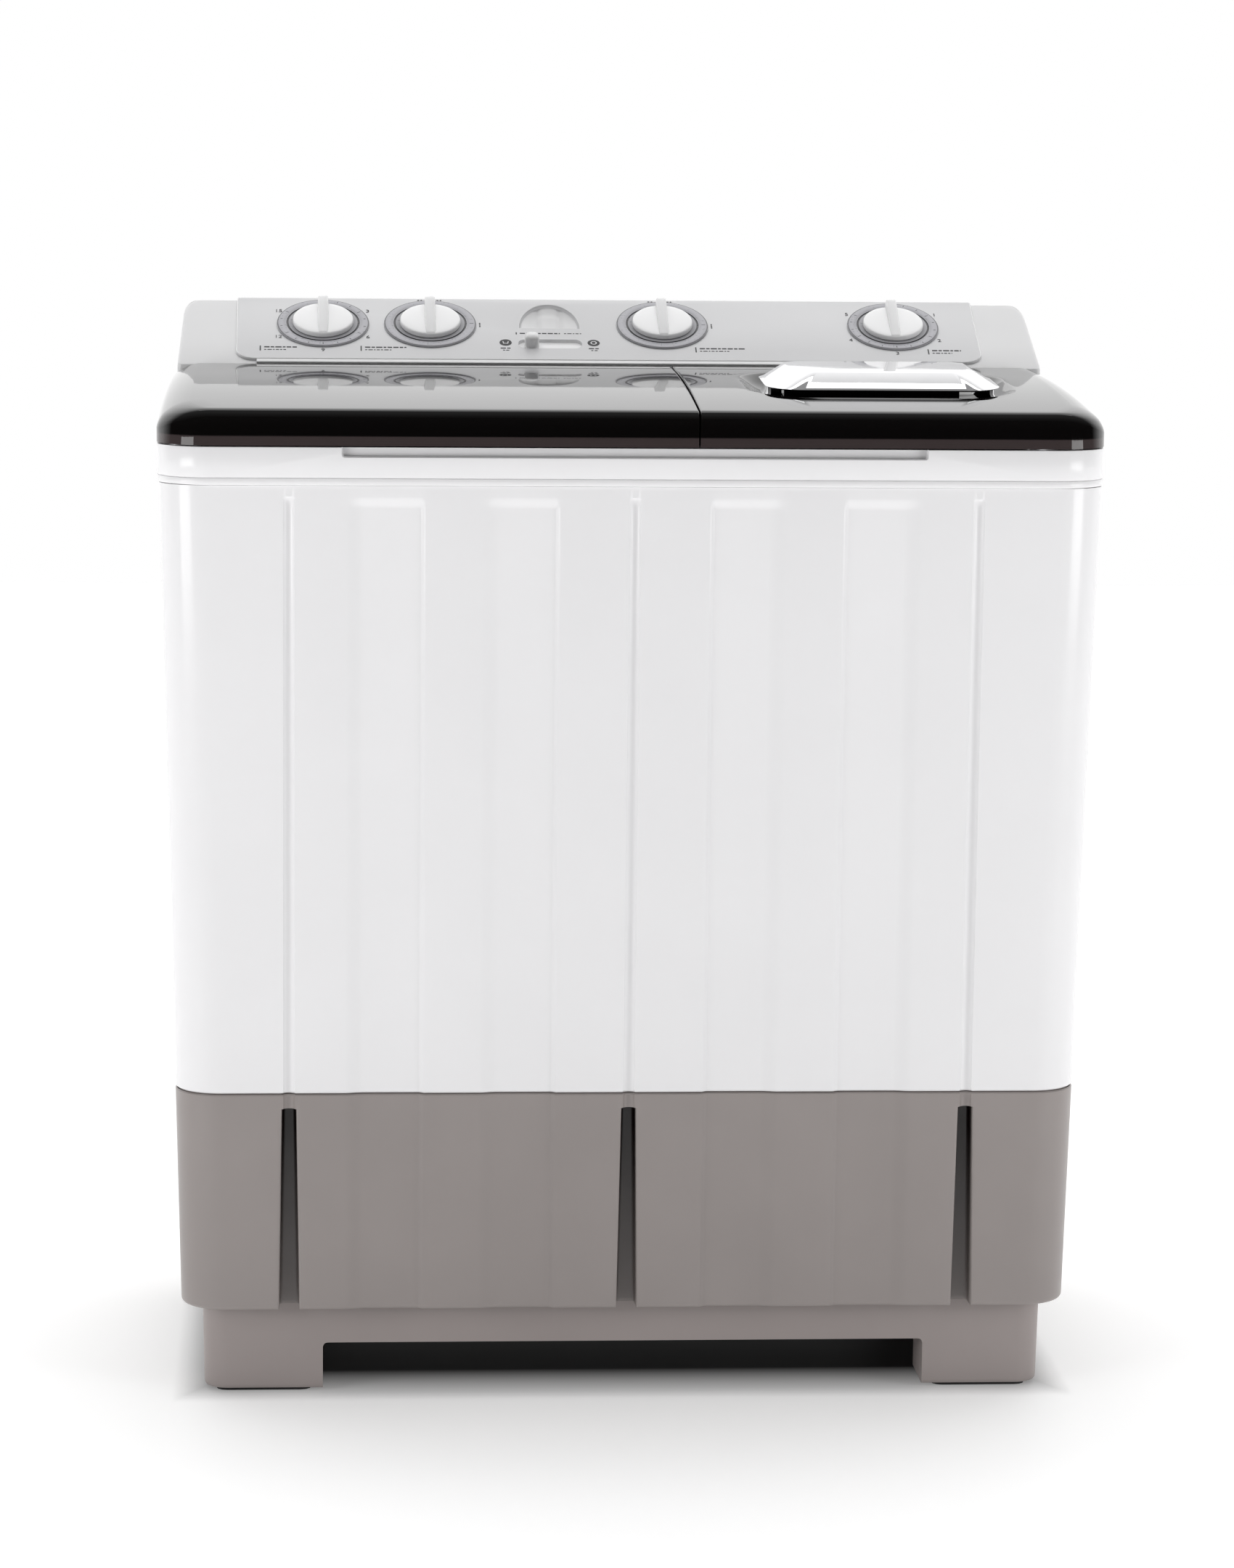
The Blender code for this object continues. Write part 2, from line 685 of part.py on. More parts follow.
def dish_depth(step_in):
    """Depth of the dish below the crown, along the straight lines between its steps."""
    for (s0, d0), (s1, d1) in zip(DISH_STEPS, DISH_STEPS[1:]):
        if step_in <= s1:
            return d0 + (d1 - d0) * (step_in - s0) / (s1 - s0)
    return DISH_STEPS[-1][1]


def make_handle():
    """The bar over the dish, with a leg at each end and a web at the back that reach down to the dish."""
    hinge = (HANDLE[0], HINGE_Y, HINGE_Z)
    rings = [handle_ring(*s) for s in HANDLE_STEPS]
    handle = loft("spin_lid_handle", rings, CHROME, strips=True, origin=hinge)
    for side, sign in (("left", -1), ("right", 1)):
        ends = sorted(HANDLE[0] + sign * (HANDLE_HALF[0] - step) for step in LEG_INSET)
        corners = [(ends[0], LEG_Y[0]), (ends[1], LEG_Y[0]), (ends[1], LEG_Y[1]), (ends[0], LEG_Y[1])]
        foot = []
        for x, y in corners:
            step_in = DISH_HALF[0] - abs(x - DISH[0])
            foot.append((x, y, dish_height(y, step_in, dish_depth(step_in)) + LEG_CLEARANCE))
        top = [(x, y, crown(y) + LEG_TOP) for x, y in corners]
        join(handle, loft(f"handle_leg_{side}", [foot, top]))
    web_low = (HANDLE[0] - WEB_HALF, WEB_Y[0], crown(DISH[1]) - DISH_STEPS[-1][1] + LEG_CLEARANCE)
    web_high = (HANDLE[0] + WEB_HALF, WEB_Y[1], crown(WEB_Y[1]) + LEG_TOP)
    join(handle, block("handle_web", web_low, web_high))


make_lid("wash_lid", -HALF_W, SPLIT_X - SPLIT_GAP / 2)
make_dish(*make_lid("spin_lid", HALF_W, SPLIT_X + SPLIT_GAP / 2))
make_handle()

# Console housing and control panel

PANEL_MATRIX = Matrix.Translation(PANEL_ORIGIN) @ Matrix(
    ((1, 0, 0), (0, PANEL_S.y, PANEL_N.y), (0, PANEL_S.z, PANEL_N.z))
).to_4x4()
CONSOLE_TOP = PANEL_ORIGIN.z + SLOPE_LENGTH * math.sin(PANEL_ANGLE)
HOUSING_LEVELS = (
    (CONSOLE_BASE, 0.4235),
    (PANEL_ORIGIN.z, 0.4205),
    (CONSOLE_TOP - 0.0155, 0.4170),
    (CONSOLE_TOP - 0.0075, 0.4142),
    (CONSOLE_TOP - 0.0025, 0.4105),
    (CONSOLE_TOP, 0.4040),
)
HOLLOW_LEVELS = (
    (0.86, 0.4205),
    (PANEL_ORIGIN.z - 0.0015, 0.4178),
    (CONSOLE_TOP - 0.0160, 0.4140),
    (CONSOLE_TOP - WALL, 0.4060),
)


def on_panel(x, s, h=0.0):
    """Frame on the sloping face: local X across, local Y up the slope, local Z out of the face."""
    return PANEL_MATRIX @ Matrix.Translation((x, s, h))


def slope_y(z, depth=0.0):
    """Front of the console at height z, set in by depth from the sloping face."""
    if z <= PANEL_ORIGIN.z:
        return CONSOLE_FRONT_Y + depth
    start = PANEL_ORIGIN - PANEL_N * depth
    return max(CONSOLE_FRONT_Y + depth, start.y + (z - start.z) / math.tan(PANEL_ANGLE))


def console_ring(half_w, z, depth, front_r, back_r, back_share):
    front = slope_y(z, depth)
    back_r = min(back_r, back_share * (CONSOLE_BACK_Y - slope_y(z)))
    return raised(rounded(-half_w, half_w, front, CONSOLE_BACK_Y - depth, front_r, 4, back_r), z)


def panel_point(x, s, h):
    if s < SLOPE_LENGTH:
        return PANEL_MATRIX @ Vector((x, s, h))
    corner = PANEL_MATRIX @ Vector((x, SLOPE_LENGTH, 0))
    if s == SLOPE_LENGTH:
        up = (PANEL_N + Vector((0, 0, 1))) / (1 + PANEL_N.z)
        return corner + up * h
    return corner + Vector((0, s - SLOPE_LENGTH, h))


def plate_ring(inward, h):
    """The plate covers the slope and bends over its upper edge."""
    r = 0.018
    half = [(PLATE_HALF_W - r + x, PLATE_FOOT + r + y) for x, y in arc(r - inward, -90, 0, 6)]
    x = PLATE_HALF_W - inward
    half += [(x, SLOPE_LENGTH), (x, SLOPE_LENGTH + 0.010 - inward)]
    return [panel_point(x, s, h) for x, s in half] + [panel_point(-x, s, h) for x, s in reversed(half)]


def scoop_cutter():
    """The upper half of a stretched ball."""
    bm = bmesh.new()
    size = Matrix.Diagonal((*SCOOP_SIZE, 1.0)) @ Matrix.Rotation(math.radians(90), 4, "X")
    bmesh.ops.create_uvsphere(bm, u_segments=12, v_segments=12, radius=1.0, matrix=size)
    geometry = list(bm.verts) + list(bm.edges) + list(bm.faces)
    bmesh.ops.bisect_plane(
        bm, geom=geometry, plane_co=(0, 0.001, 0), plane_no=(0, 1, 0), clear_inner=True
    )
    bmesh.ops.holes_fill(bm, edges=bm.edges)
    bmesh.ops.recalc_face_normals(bm, faces=bm.faces)
    return add("scoop_cut", to_mesh("scoop_cut", bm), matrix=on_panel(SCOOP_X, SCOOP_S, 0.0045))


def make_console():
    rings = [console_ring(w, z, 0.0, 0.004, 0.0435, 0.9) for z, w in HOUSING_LEVELS]
    housing = loft("console_housing", rings, CONSOLE)
    rings = [console_ring(w, z, WALL, 0.002, 0.041, 0.8) for z, w in HOLLOW_LEVELS]
    hollow = loft("console_hollow", rings)
    cut(housing, hollow)
    plate_levels = ((0.0, GAP), (0.0, PLATE_T - 0.0008), (0.0008, PLATE_T))
    plate = loft("control_panel", [plate_ring(i, h) for i, h in plate_levels], PLATE, strips=True)
    for name, x in DIAL_X.items():
        hole = cylinder(f"{name}_hole", 0.0050, -0.02, 0.02, 12, matrix=on_panel(x, DIAL_S))
        cut(plate, hole)
        cut(housing, hole)
    channel = rounded(CHANNEL_X0, CHANNEL_X1, 0.0275, 0.0445, 0.0080, 4)
    cut(plate, outline("selector_channel", [channel], -0.001, 0.02, matrix=PANEL_MATRIX))
    slit_low = (CHANNEL_X0 + 0.008, 0.0340, -0.02)
    slit_high = (CHANNEL_X1 - 0.008, 0.0380, 0.02)
    cut(housing, block("selector_slit", slit_low, slit_high, matrix=PANEL_MATRIX))
    pad_low = (SCOOP_X - 0.036, 0.058, -0.0110)
    pad_high = (SCOOP_X + 0.036, 0.1170, -0.0015)
    cut(hollow, block("scoop_pad", pad_low, pad_high, matrix=PANEL_MATRIX))
    scoop = scoop_cutter()
    cut(plate, scoop)
    cut(housing, scoop)
    inlet_matrix = at(SCOOP_X, 0.240, INLET_Z, Z_TO_Y)
    cut(housing, cylinder("inlet_hole", 0.0104, 0, 0.02, 16, matrix=inlet_matrix))


make_console()

# Dials, knobs, slider, timers and the water inlet

DIAL_PROFILE = (
    (0.0060, 0.0),
    (0.0452, 0.0),
    (0.0452, 0.0008),
    (0.0446, 0.0013),
    (0.0359, 0.0013),
    (0.0355, 0.0006),
    (0.0347, 0.0006),
    (0.0343, 0.0013),
    (0.0060, 0.0013),
)
KNOB_PROFILE = (
    (0.0030, -0.0180),
    (0.0030, 0.0016),
    (0.0296, 0.0016),
    (0.0300, 0.0022),
    (0.0297, 0.0050),
    (0.0293, 0.0060),
    (0.0285, 0.0063),
)
GRIP_LINE = (
    # place along the grip, height
    (-0.0285, 0.0068),
    (-0.0200, 0.0090),
    (0.0, 0.0122),
    (0.0180, 0.0154),
    (0.0270, 0.0160),
    (0.0292, 0.0150),
)
GRIP_FOOT = 0.0050
GRIP_HALF = (0.0056, 0.0042)


def grip_section(y, top):
    foot, tip = GRIP_HALF
    return [(-foot, y, GRIP_FOOT), (foot, y, GRIP_FOOT), (tip, y, top), (-tip, y, top)]


def make_dials():
    for name, x in DIAL_X.items():
        matrix = on_panel(x, DIAL_S, PLATE_T + GAP)
        turned(f"{name}_dial", DIAL_PROFILE, 24, RING, matrix, ring=True)
        knob = turned(f"{name}_knob", KNOB_PROFILE, 24, KNOB, matrix)
        join(knob, loft(f"{name}_grip", [grip_section(y, top) for y, top in GRIP_LINE], matrix=matrix))


def make_slider():
    matrix = on_panel(SLIDER_X, SLIDER_S, GAP)
    button = block("slider_cap", (-0.0070, -0.0070, 0.0), (0.0070, 0.0070, 0.0140), matrix=matrix)
    foot = ((-0.0015, -0.0015, -0.0120), (0.0015, 0.0015, 0.0010))
    join(block("inlet_selector_slider", *foot, SLIDER, matrix), soften(button, 0.0024))


def make_timers():
    for name in ("wash_timer", "spin_timer"):
        case = rounded(-0.027, 0.027, -0.024, 0.024, 0.005, 2)
        outline(f"{name}_unit", [case], -0.0480, -0.0160, TIMER_CASE, on_panel(DIAL_X[name], DIAL_S))


INLET_PROFILE = (
    (0.0070, -0.014),
    (0.0100, -0.014),
    (0.0100, 0.0),
    (0.0145, 0.0),
    (0.0145, 0.0015),
    (0.0110, 0.0015),
    (0.0110, 0.0055),
    (0.0070, 0.0055),
)

make_dials()
make_slider()
make_timers()
INLET_MATRIX = at(SCOOP_X, CONSOLE_BACK_Y + GAP, INLET_Z, Z_TO_Y)
turned("water_inlet_port", INLET_PROFILE, 16, PORT, INLET_MATRIX, ring=True)

# Wash tub and its drive


def tub_ring(hx, hy, r, z):
    return raised(centred(WASH, hx, hy, r, 6), z)


def make_wash_tub():
    """The inner surface from the shaft hole up to the flange, with its wall added outwards."""
    rings = [
        tub_ring(0.0125, 0.0125, 0.0125, TUB_FLOOR),
        tub_ring(0.1700, 0.1435, 0.1200, TUB_FLOOR),
        tub_ring(0.1850, 0.1480, 0.1050, 0.4180),
        tub_ring(0.1925, 0.1505, 0.0900, 0.4520),
        tub_ring(0.2075, 0.1600, 0.0690, TUB_TOP),
        tub_ring(0.2165, 0.1690, 0.0740, TUB_TOP),
    ]
    tub = hollow_out(loft("wash_tub", rings, TUB, capped=False), WALL, 1.0)
    cut(tub, cylinder("tub_drain_hole", 0.0110, 0.39, 0.43, 12, matrix=at(*DRAIN_HOLE)))


FILTER_X = -0.190
FILTER_Y = 0.0725
VANES = (1.0, 0.55, 0.12, 0.0, 0.12, 0.55)
PULSATOR_STEPS = (
    # radius, height, rise of the vanes
    (0.1370, 0.4105, 0),
    (0.1405, 0.4125, 0),
    (0.1405, 0.4150, 0),
    (0.1340, 0.4180, 0.0010),
    (0.1100, 0.4185, 0.0110),
    (0.0700, 0.4200, 0.0150),
    (0.0400, 0.4250, 0.0110),
    (0.0220, 0.4330, 0.0020),
    (0.0180, 0.4340, 0),
)


def vane_ring(r, z, rise):
    ring = []
    for i in range(36):
        a = 2 * math.pi * i / 36
        ring.append((WASH[0] + r * math.cos(a), WASH[1] + r * math.sin(a), z + rise * VANES[i % 6]))
    return ring


def make_filter():
    """A framed screen on the rear wall of the wash tub, with three windows."""
    frame = rounded(-0.050, 0.050, -FILTER_Z1, -FILTER_Z0, 0.012, 3)
    screen = outline("lint_filter", [frame], 0, 0.0180, PULSATOR, at(FILTER_X, FILTER_Y, 0, Z_TO_Y))
    for index, z in enumerate((0.575, 0.632, 0.689)):
        low = (FILTER_X - 0.038, 0.06, z)
        cut(screen, block(f"filter_window_{index + 1}", low, (FILTER_X + 0.038, 0.084, z + 0.045)))


def pulley(name, centre, bore, rim, groove, steps):
    mid = (PULLEY_Z0 + PULLEY_Z1) / 2
    profile = [
        (bore, PULLEY_Z0),
        (rim, PULLEY_Z0),
        (rim, mid - 0.0050),
        (groove, mid - 0.0046),
        (groove, mid + 0.0046),
        (rim, mid + 0.0050),
        (rim, PULLEY_Z1),
        (bore, PULLEY_Z1),
    ]
    turned(name, profile, steps, PULLEY, at(*centre), ring=True)


def belt_loop(r_large, r_small):
    """The line of a belt round both pulleys."""
    a, b = Vector(WASH), Vector(WASH_MOTOR)
    span = b - a
    heading = math.degrees(math.atan2(span.y, span.x))
    lean = math.degrees(math.acos((r_large - r_small) / span.length))
    large = arc(r_large, heading + lean, heading + 360 - lean, 15)
    small = arc(r_small, heading - lean, heading + lean, 8)
    return [(a.x + x, a.y + y) for x, y in large] + [(b.x + x, b.y + y) for x, y in small]


OVERFLOW_PATH = (
    (-0.330, 0.1035, 0.800),
    (-0.330, 0.160, 0.800),
    (-0.330, 0.170, 0.790),
    (-0.330, 0.170, 0.290),
)
BEARING_PROFILE = (
    (0.0085, 0.4047),
    (0.0450, 0.4047),
    (0.0450, 0.3990),
    (0.0280, 0.3950),
    (0.0240, 0.3180),
    (0.0085, 0.3180),
)
WASH_MOTOR_PROFILE = (
    (0.0450, FLOOR_TOP),
    (0.0450, 0.0585),
    (0.0300, 0.0600),
    (0.0300, 0.0850),
    (0.0580, 0.0900),
    (0.0580, 0.1980),
    (0.0450, 0.2120),
    (0.0180, 0.2180),
    (0.0180, 0.2300),
)

make_wash_tub()
loft("pulsator", [vane_ring(*step) for step in PULSATOR_STEPS], PULSATOR, origin=(*WASH, 0.41))
make_filter()
tube("overflow_pipe", OVERFLOW_PATH, 0.011, 0.009, PIPE)
turned("shaft_bearing", BEARING_PROFILE, 24, CAST, at(*WASH), ring=True)
cylinder("pulsator_shaft", 0.008, 0.2803, 0.4102, 16, STEEL, at(*WASH))
pulley("drive_pulley_large", WASH, 0.0083, 0.0800, 0.0740, 24)
pulley("motor_pulley_small", WASH_MOTOR, 0.0063, 0.0220, 0.0165, 16)
outline("drive_belt", [belt_loop(0.0800, 0.0220), belt_loop(0.0752, 0.0172)], 0.2910, 0.2990, RUBBER)
turned("wash_motor", WASH_MOTOR_PROFILE, 24, MOTOR, at(*WASH_MOTOR))
cylinder("wash_motor_shaft", 0.006, 0.2303, 0.3120, 12, STEEL, at(*WASH_MOTOR))

# Spin tub and its drive

CASE_PROFILE = (
    (0.0140, 0.3875),
    (0.1450, 0.3875),
    (0.1520, 0.3950),
    (0.1570, TUB_TOP),
    (0.1680, TUB_TOP),
    (0.1680, TUB_TOP - 0.0025),
    (0.1595, TUB_TOP - 0.0030),
    (0.1545, 0.3940),
    (0.1460, 0.3850),
    (0.0140, 0.3850),
)
BASKET_PROFILE = (
    (0.1180, 0.4120),
    (0.1200, 0.4150),
    (0.1310, 0.8200),
    (0.1325, 0.8200),
    (0.1215, 0.4140),
    (0.1190, 0.4100),
)
BALANCE_PROFILE = (
    (0.1130, 0.8203),
    (0.1335, 0.8203),
    (0.1345, 0.8240),
    (0.1345, 0.8380),
    (0.1320, 0.8410),
    (0.1160, 0.8410),
    (0.1130, 0.8380),
)
COVER_PROFILE = (
    (0.1060, 0.8200),
    (0.1100, 0.8215),
    (0.1100, 0.8250),
    (0.1060, 0.8265),
    (0.0700, 0.8255),
    (0.0330, 0.8225),
    (0.0180, 0.8225),
    (0.0150, 0.8310),
    (0.0120, 0.8330),
)
SEAL_PROFILE = (
    (0.0080, 0.3847),
    (0.0320, 0.3847),
    (0.0320, 0.3800),
    (0.0240, 0.3760),
    (0.0290, 0.3700),
    (0.0200, 0.3650),
    (0.0230, 0.3590),
    (0.0150, 0.3540),
    (0.0080, 0.3540),
)
DRUM_PROFILE = (
    (0.0073, 0.2620),
    (0.0160, 0.2620),
    (0.0160, 0.2680),
    (0.0500, 0.2680),
    (0.0500, 0.3000),
    (0.0160, 0.3000),
    (0.0160, 0.3020),
    (0.0073, 0.3020),
)
SPIN_MOTOR_PROFILE = (
    (0.0500, SPIN_MOTOR_Z),
    (0.0620, SPIN_MOTOR_Z + 0.006),
    (0.0620, 0.1900),
    (0.0480, 0.2100),
    (0.0180, 0.2160),
    (0.0180, 0.2350),
)
MOUNT_PROFILE = (
    (0.0120, FLOOR_TOP),
    (0.0140, 0.0560),
    (0.0100, 0.0660),
    (0.0130, 0.0760),
    (0.0100, 0.0860),
    (0.0130, 0.0960),
    (0.0120, SPIN_MOTOR_Z - GAP),
)
LEVER_OUTLINE = (
    (0.2620, 0.0100),
    (0.2600, 0.0020),
    (0.2800, -0.0300),
    (0.2835, -0.0370),
    (0.2885, -0.0480),
    (0.2945, -0.0500),
    (0.2960, -0.0380),
    (0.2920, -0.0260),
    (0.2770, 0.0050),
    (0.2730, 0.0110),
)
HOLE_ROWS = (
    # height, angle of the first rod
    (0.52, 5.6),
    (0.62, 28.1),
    (0.72, 5.6),
)
HOLE_RODS = 4
HOLE_R = 0.004
HOLE_REACH = 0.16


def make_basket():
    """Perforated drum. Each rod passes through both sides, so it makes two holes."""
    basket = turned("spin_basket", BASKET_PROFILE, 32, BASKET, at(*SPIN))
    for row, (z, start) in enumerate(HOLE_ROWS):
        for k in range(HOLE_RODS):
            turn = math.radians(start + 180 / HOLE_RODS * k)
            matrix = at(*SPIN, z, Matrix.Rotation(turn, 4, "Z") @ Z_TO_X)
            rod_name = f"basket_rod_{row + 1}_{k + 1}"
            cut(basket, cylinder(rod_name, HOLE_R, -HOLE_REACH, HOLE_REACH, 6, matrix=matrix))


def make_spin_motor():
    """The motor carries the post that the brake lever turns on."""
    motor = turned("spin_motor", SPIN_MOTOR_PROFILE, 24, MOTOR, at(*SPIN))
    arm = block("brake_arm", (0.2600, -0.0250, 0.1780), (0.2760, 0.0130, 0.1860))
    post = cylinder("brake_post", PIN_R, 0.1820, 0.2920, 12, matrix=at(*BRAKE_PIVOT))
    join(motor, arm, post)
    for k in range(3):
        a = math.radians(90 + 120 * k)
        centre = (SPIN[0] + 0.036 * math.cos(a), SPIN[1] + 0.036 * math.sin(a))
        turned(f"motor_mount_{k + 1}", MOUNT_PROFILE, 12, RUBBER, at(*centre))


def make_brake_lever():
    shape = [(x - BRAKE_PIVOT[0], y - BRAKE_PIVOT[1]) for x, y in LEVER_OUTLINE]
    lever = outline("brake_lever", [shape], 0.2790, 0.2870, CAST, at(*BRAKE_PIVOT))
    cut(lever, cylinder("lever_bore", PIN_BORE_R, 0.27, 0.30, 12, matrix=at(*BRAKE_PIVOT)))


turned("spin_case", CASE_PROFILE, 28, TUB, at(*SPIN), ring=True)
make_basket()
turned("balance_ring", BALANCE_PROFILE, 28, TUB, at(*SPIN), ring=True)
turned("spin_safety_cover", COVER_PROFILE, 24, PULSATOR, at(*SPIN))
cylinder("spin_shaft", 0.0070, 0.2353, 0.4097, 16, STEEL, at(*SPIN))
turned("shaft_seal", SEAL_PROFILE, 20, RUBBER, at(*SPIN), ring=True)
turned("brake_drum", DRUM_PROFILE, 24, CAST, at(*SPIN), ring=True)
make_spin_motor()
make_brake_lever()

# Drain and cord gland

CUP_PROFILE = (
    (0.0210, 0.3340),
    (0.0210, 0.4200),
    (0.0250, 0.4200),
    (0.0250, 0.3300),
)
PLUNGER_PROFILE = (
    (0.0120, 0.3344),
    (0.0185, 0.3380),
    (0.0185, 0.3480),
    (0.0030, 0.3560),
    (0.0030, 0.8450),
)
ELBOW_PATH = (
    (*DRAIN_HOLE, 0.4046),
    (*DRAIN_HOLE, 0.3750),
    (-0.055, 0.040, 0.3600),
    (-0.020, 0.100, 0.3600),
    (-0.020, 0.1396, 0.3600),
)
DRAIN_PATH = (
    (-0.020, 0.1912, 0.3480),
    (-0.020, 0.2080, 0.3480),
    (-0.080, 0.2150, 0.3400),
    (-0.345, 0.2150, 0.2500),
    (OUTLET_X, 0.2150, OUTLET_Z + 0.012),
    (OUTLET_X, 0.2250, OUTLET_Z),
    (OUTLET_X, 0.2333, OUTLET_Z),
)
SPOUT_PROFILE = (
    (0.0100, 0.0),
    (0.0138, 0.0),
    (0.0138, 0.0165),
    (0.0190, 0.0165),
    (0.0190, 0.0182),
    (0.0130, 0.0182),
    (0.0130, 0.0205),
    (0.0100, 0.0205),
)
GLAND_PROFILE = (
    (0.0040, -0.0060),
    (0.0110, -0.0060),
    (0.0110, -0.0032),
    (0.0086, -0.0032),
    (0.0086, GAP),
    (0.0125, GAP),
    (0.0125, 0.0032),
    (0.0070, 0.0042),
    (0.0040, 0.0042),
)

turned("drain_valve_housing", CUP_PROFILE, 20, PIPE, at(*VALVE))
turned("drain_valve_plunger", PLUNGER_PROFILE, 16, RUBBER, at(*VALVE))
tube("drain_elbow", ELBOW_PATH, 0.013, 0.0105, PIPE)
tube("drain_pipe", DRAIN_PATH, 0.013, 0.0105, PIPE)
turned("drain_outlet", SPOUT_PROFILE, 16, PIPE, at(OUTLET_X, 0.2343, OUTLET_Z, Z_TO_Y), ring=True)
turned("cord_gland", GLAND_PROFILE, 16, RUBBER, at(GLAND_X, BODY_BACK_Y, OUTLET_Z, Z_TO_Y), ring=True)
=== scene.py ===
"""The looks of the twin tub washer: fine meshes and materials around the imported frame.

Metres, +Z up, front towards -Y, floor at z = 0. Pieces that replace a CAD node keep its place and size.
"""

from math import copysign, cos, exp, hypot, pi, radians, sin, sqrt, tan

import bmesh
import bpy
from mathutils import Matrix, Vector


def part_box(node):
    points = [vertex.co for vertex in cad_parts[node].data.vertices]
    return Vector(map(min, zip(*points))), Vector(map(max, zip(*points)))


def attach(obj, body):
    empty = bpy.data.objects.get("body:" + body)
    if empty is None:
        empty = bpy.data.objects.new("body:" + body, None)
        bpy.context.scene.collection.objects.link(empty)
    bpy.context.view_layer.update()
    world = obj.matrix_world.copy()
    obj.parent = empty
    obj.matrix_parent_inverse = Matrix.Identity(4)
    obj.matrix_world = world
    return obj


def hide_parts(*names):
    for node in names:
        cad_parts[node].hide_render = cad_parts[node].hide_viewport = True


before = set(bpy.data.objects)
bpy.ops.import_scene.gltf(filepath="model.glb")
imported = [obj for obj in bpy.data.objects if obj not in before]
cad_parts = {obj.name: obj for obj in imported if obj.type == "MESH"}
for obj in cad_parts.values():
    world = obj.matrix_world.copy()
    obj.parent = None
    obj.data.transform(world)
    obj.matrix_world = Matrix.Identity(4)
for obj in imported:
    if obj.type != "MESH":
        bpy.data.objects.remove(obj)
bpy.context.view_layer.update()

# Places read from the frame
FRAME_LOW, FRAME_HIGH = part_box("top_frame")
HALF_W = FRAME_HIGH.x
FRONT_Y, BACK_Y = FRAME_LOW.y, FRAME_HIGH.y
RIM_BOTTOM = FRAME_LOW.z
UPPER_LOW, UPPER_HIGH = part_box("upper_cabinet")
LID_LOW, LID_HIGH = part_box("spin_lid")
WASH = Vector((-0.19, -0.06))
SPIN = Vector((0.235, -0.06))

# Rim, deck and lids
RIM_R = 0.05
RIM_TOP = 0.8825
DECK_TOP = 0.8695
DECK_UNDER = 0.8665
LID_REAR_Y = LID_HIGH.y
LID_BOTTOM = LID_LOW.z
CROWN_TOP = 0.935
CROWN_Y = 0.118
CROWN_K = 0.138
SPLIT_X = 0.057
SPLIT_GAP = 0.0014
HINGE_Y = 0.11
HINGE_Z = 0.926
HINGE_R = 0.005
HINGE_BAR = 0.008
LID_WALL = 0.0025

# Cabinet
BODY_TOP = UPPER_HIGH.z
SEAM_Z = 0.29
SKIRT_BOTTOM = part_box("lower_cabinet")[0].z
BODY_HALF_W = UPPER_HIGH.x
BODY_FRONT_Y, BODY_BACK_Y = UPPER_LOW.y, UPPER_HIGH.y
SIDE_DRAFT = 0.0225
FRONT_DRAFT = 0.0236
BODY_R = 0.042
GROOVES = (-0.311, 0.0, 0.311)
GROOVE_HALF = 0.0052
GROOVE_DEPTH = 0.0032
STEP_SHARP = (0.1906, 0.0697)
STEP_SOFT = (0.2517, 0.1295)
STEP_DEPTH = 0.003
PANEL_TOP = 0.83
SLOT_TOP = 0.2755
SLOT_DEPTH = 0.0225
SLOT_HALF_TOP = 0.0066
SLOT_HALF_BOTTOM = 0.0094
REAR_OPENING = (-0.28, 0.28, 0.235, 0.27)
OUTLET_X = -0.35
GLAND_X = 0.35
FITTING_Z = 0.165

# Console
CONSOLE_FRONT_Y = 0.1235
CONSOLE_BACK_Y = 0.249
CONSOLE_BASE = 0.8698
PANEL_ANGLE = radians(27)
PANEL_ORIGIN = Vector((0, CONSOLE_FRONT_Y, 0.9345))
PANEL_S = Vector((0, cos(PANEL_ANGLE), sin(PANEL_ANGLE)))
PANEL_N = Vector((0, -sin(PANEL_ANGLE), cos(PANEL_ANGLE)))
SLOPE_LENGTH = 0.1215
PLATE_HALF_W = 0.3645
PLATE_T = 0.003
DIAL_S = 0.072
DIALS = {"wash_timer": -0.28, "wash_selector": -0.175, "drain_selector": 0.0535, "spin_timer": 0.282}
SLIDER_X = -0.0763
CHANNEL = (-0.0896, -0.027, 0.0275, 0.0445)
SCOOP_X = -0.058
SCOOP_S = 0.066
FACE = PLATE_T + 0.0003


# Camera


def shown(name, data, matrix=None):
    """An object in the scene for some data."""
    obj = bpy.data.objects.new(name, data)
    bpy.context.scene.collection.objects.link(obj)
    if matrix is not None:
        obj.matrix_world = matrix
    return obj


def make_camera():
    data = bpy.data.cameras.new("camera")
    data.sensor_width = 36.0
    data.lens = 109.29
    data.clip_start = 0.1
    data.clip_end = 60.0
    camera = shown("camera", data)
    turn = Matrix.Rotation(radians(-3.6146), 4, "Z")
    tilt = Matrix.Rotation(radians(90 - 8.3716), 4, "X")
    roll = Matrix.Rotation(radians(0.5505), 4, "Z")
    camera.matrix_world = Matrix.Translation((-0.2833, -4.5087, 1.206)) @ turn @ tilt @ roll
    bpy.context.scene.camera = camera


make_camera()


# Materials


def new_material(name):
    """A material with its node tree, its shader and the object's own coordinates."""
    mat = bpy.data.materials.new(name)
    mat.use_nodes = True
    tree = mat.node_tree
    return mat, tree, tree.nodes["Principled BSDF"], made(tree, "TexCoord").outputs["Object"]


def made(tree, kind, **inputs):
    """A new node. A value given for an input is either another node's socket or a constant."""
    node = tree.nodes.new("ShaderNode" + kind)
    for name, value in inputs.items():
        fill(tree, node.inputs[name.replace("_", " ")], value)
    return node


def fill(tree, socket, value):
    if isinstance(value, bpy.types.NodeSocket):
        tree.links.new(value, socket)
    else:
        socket.default_value = value


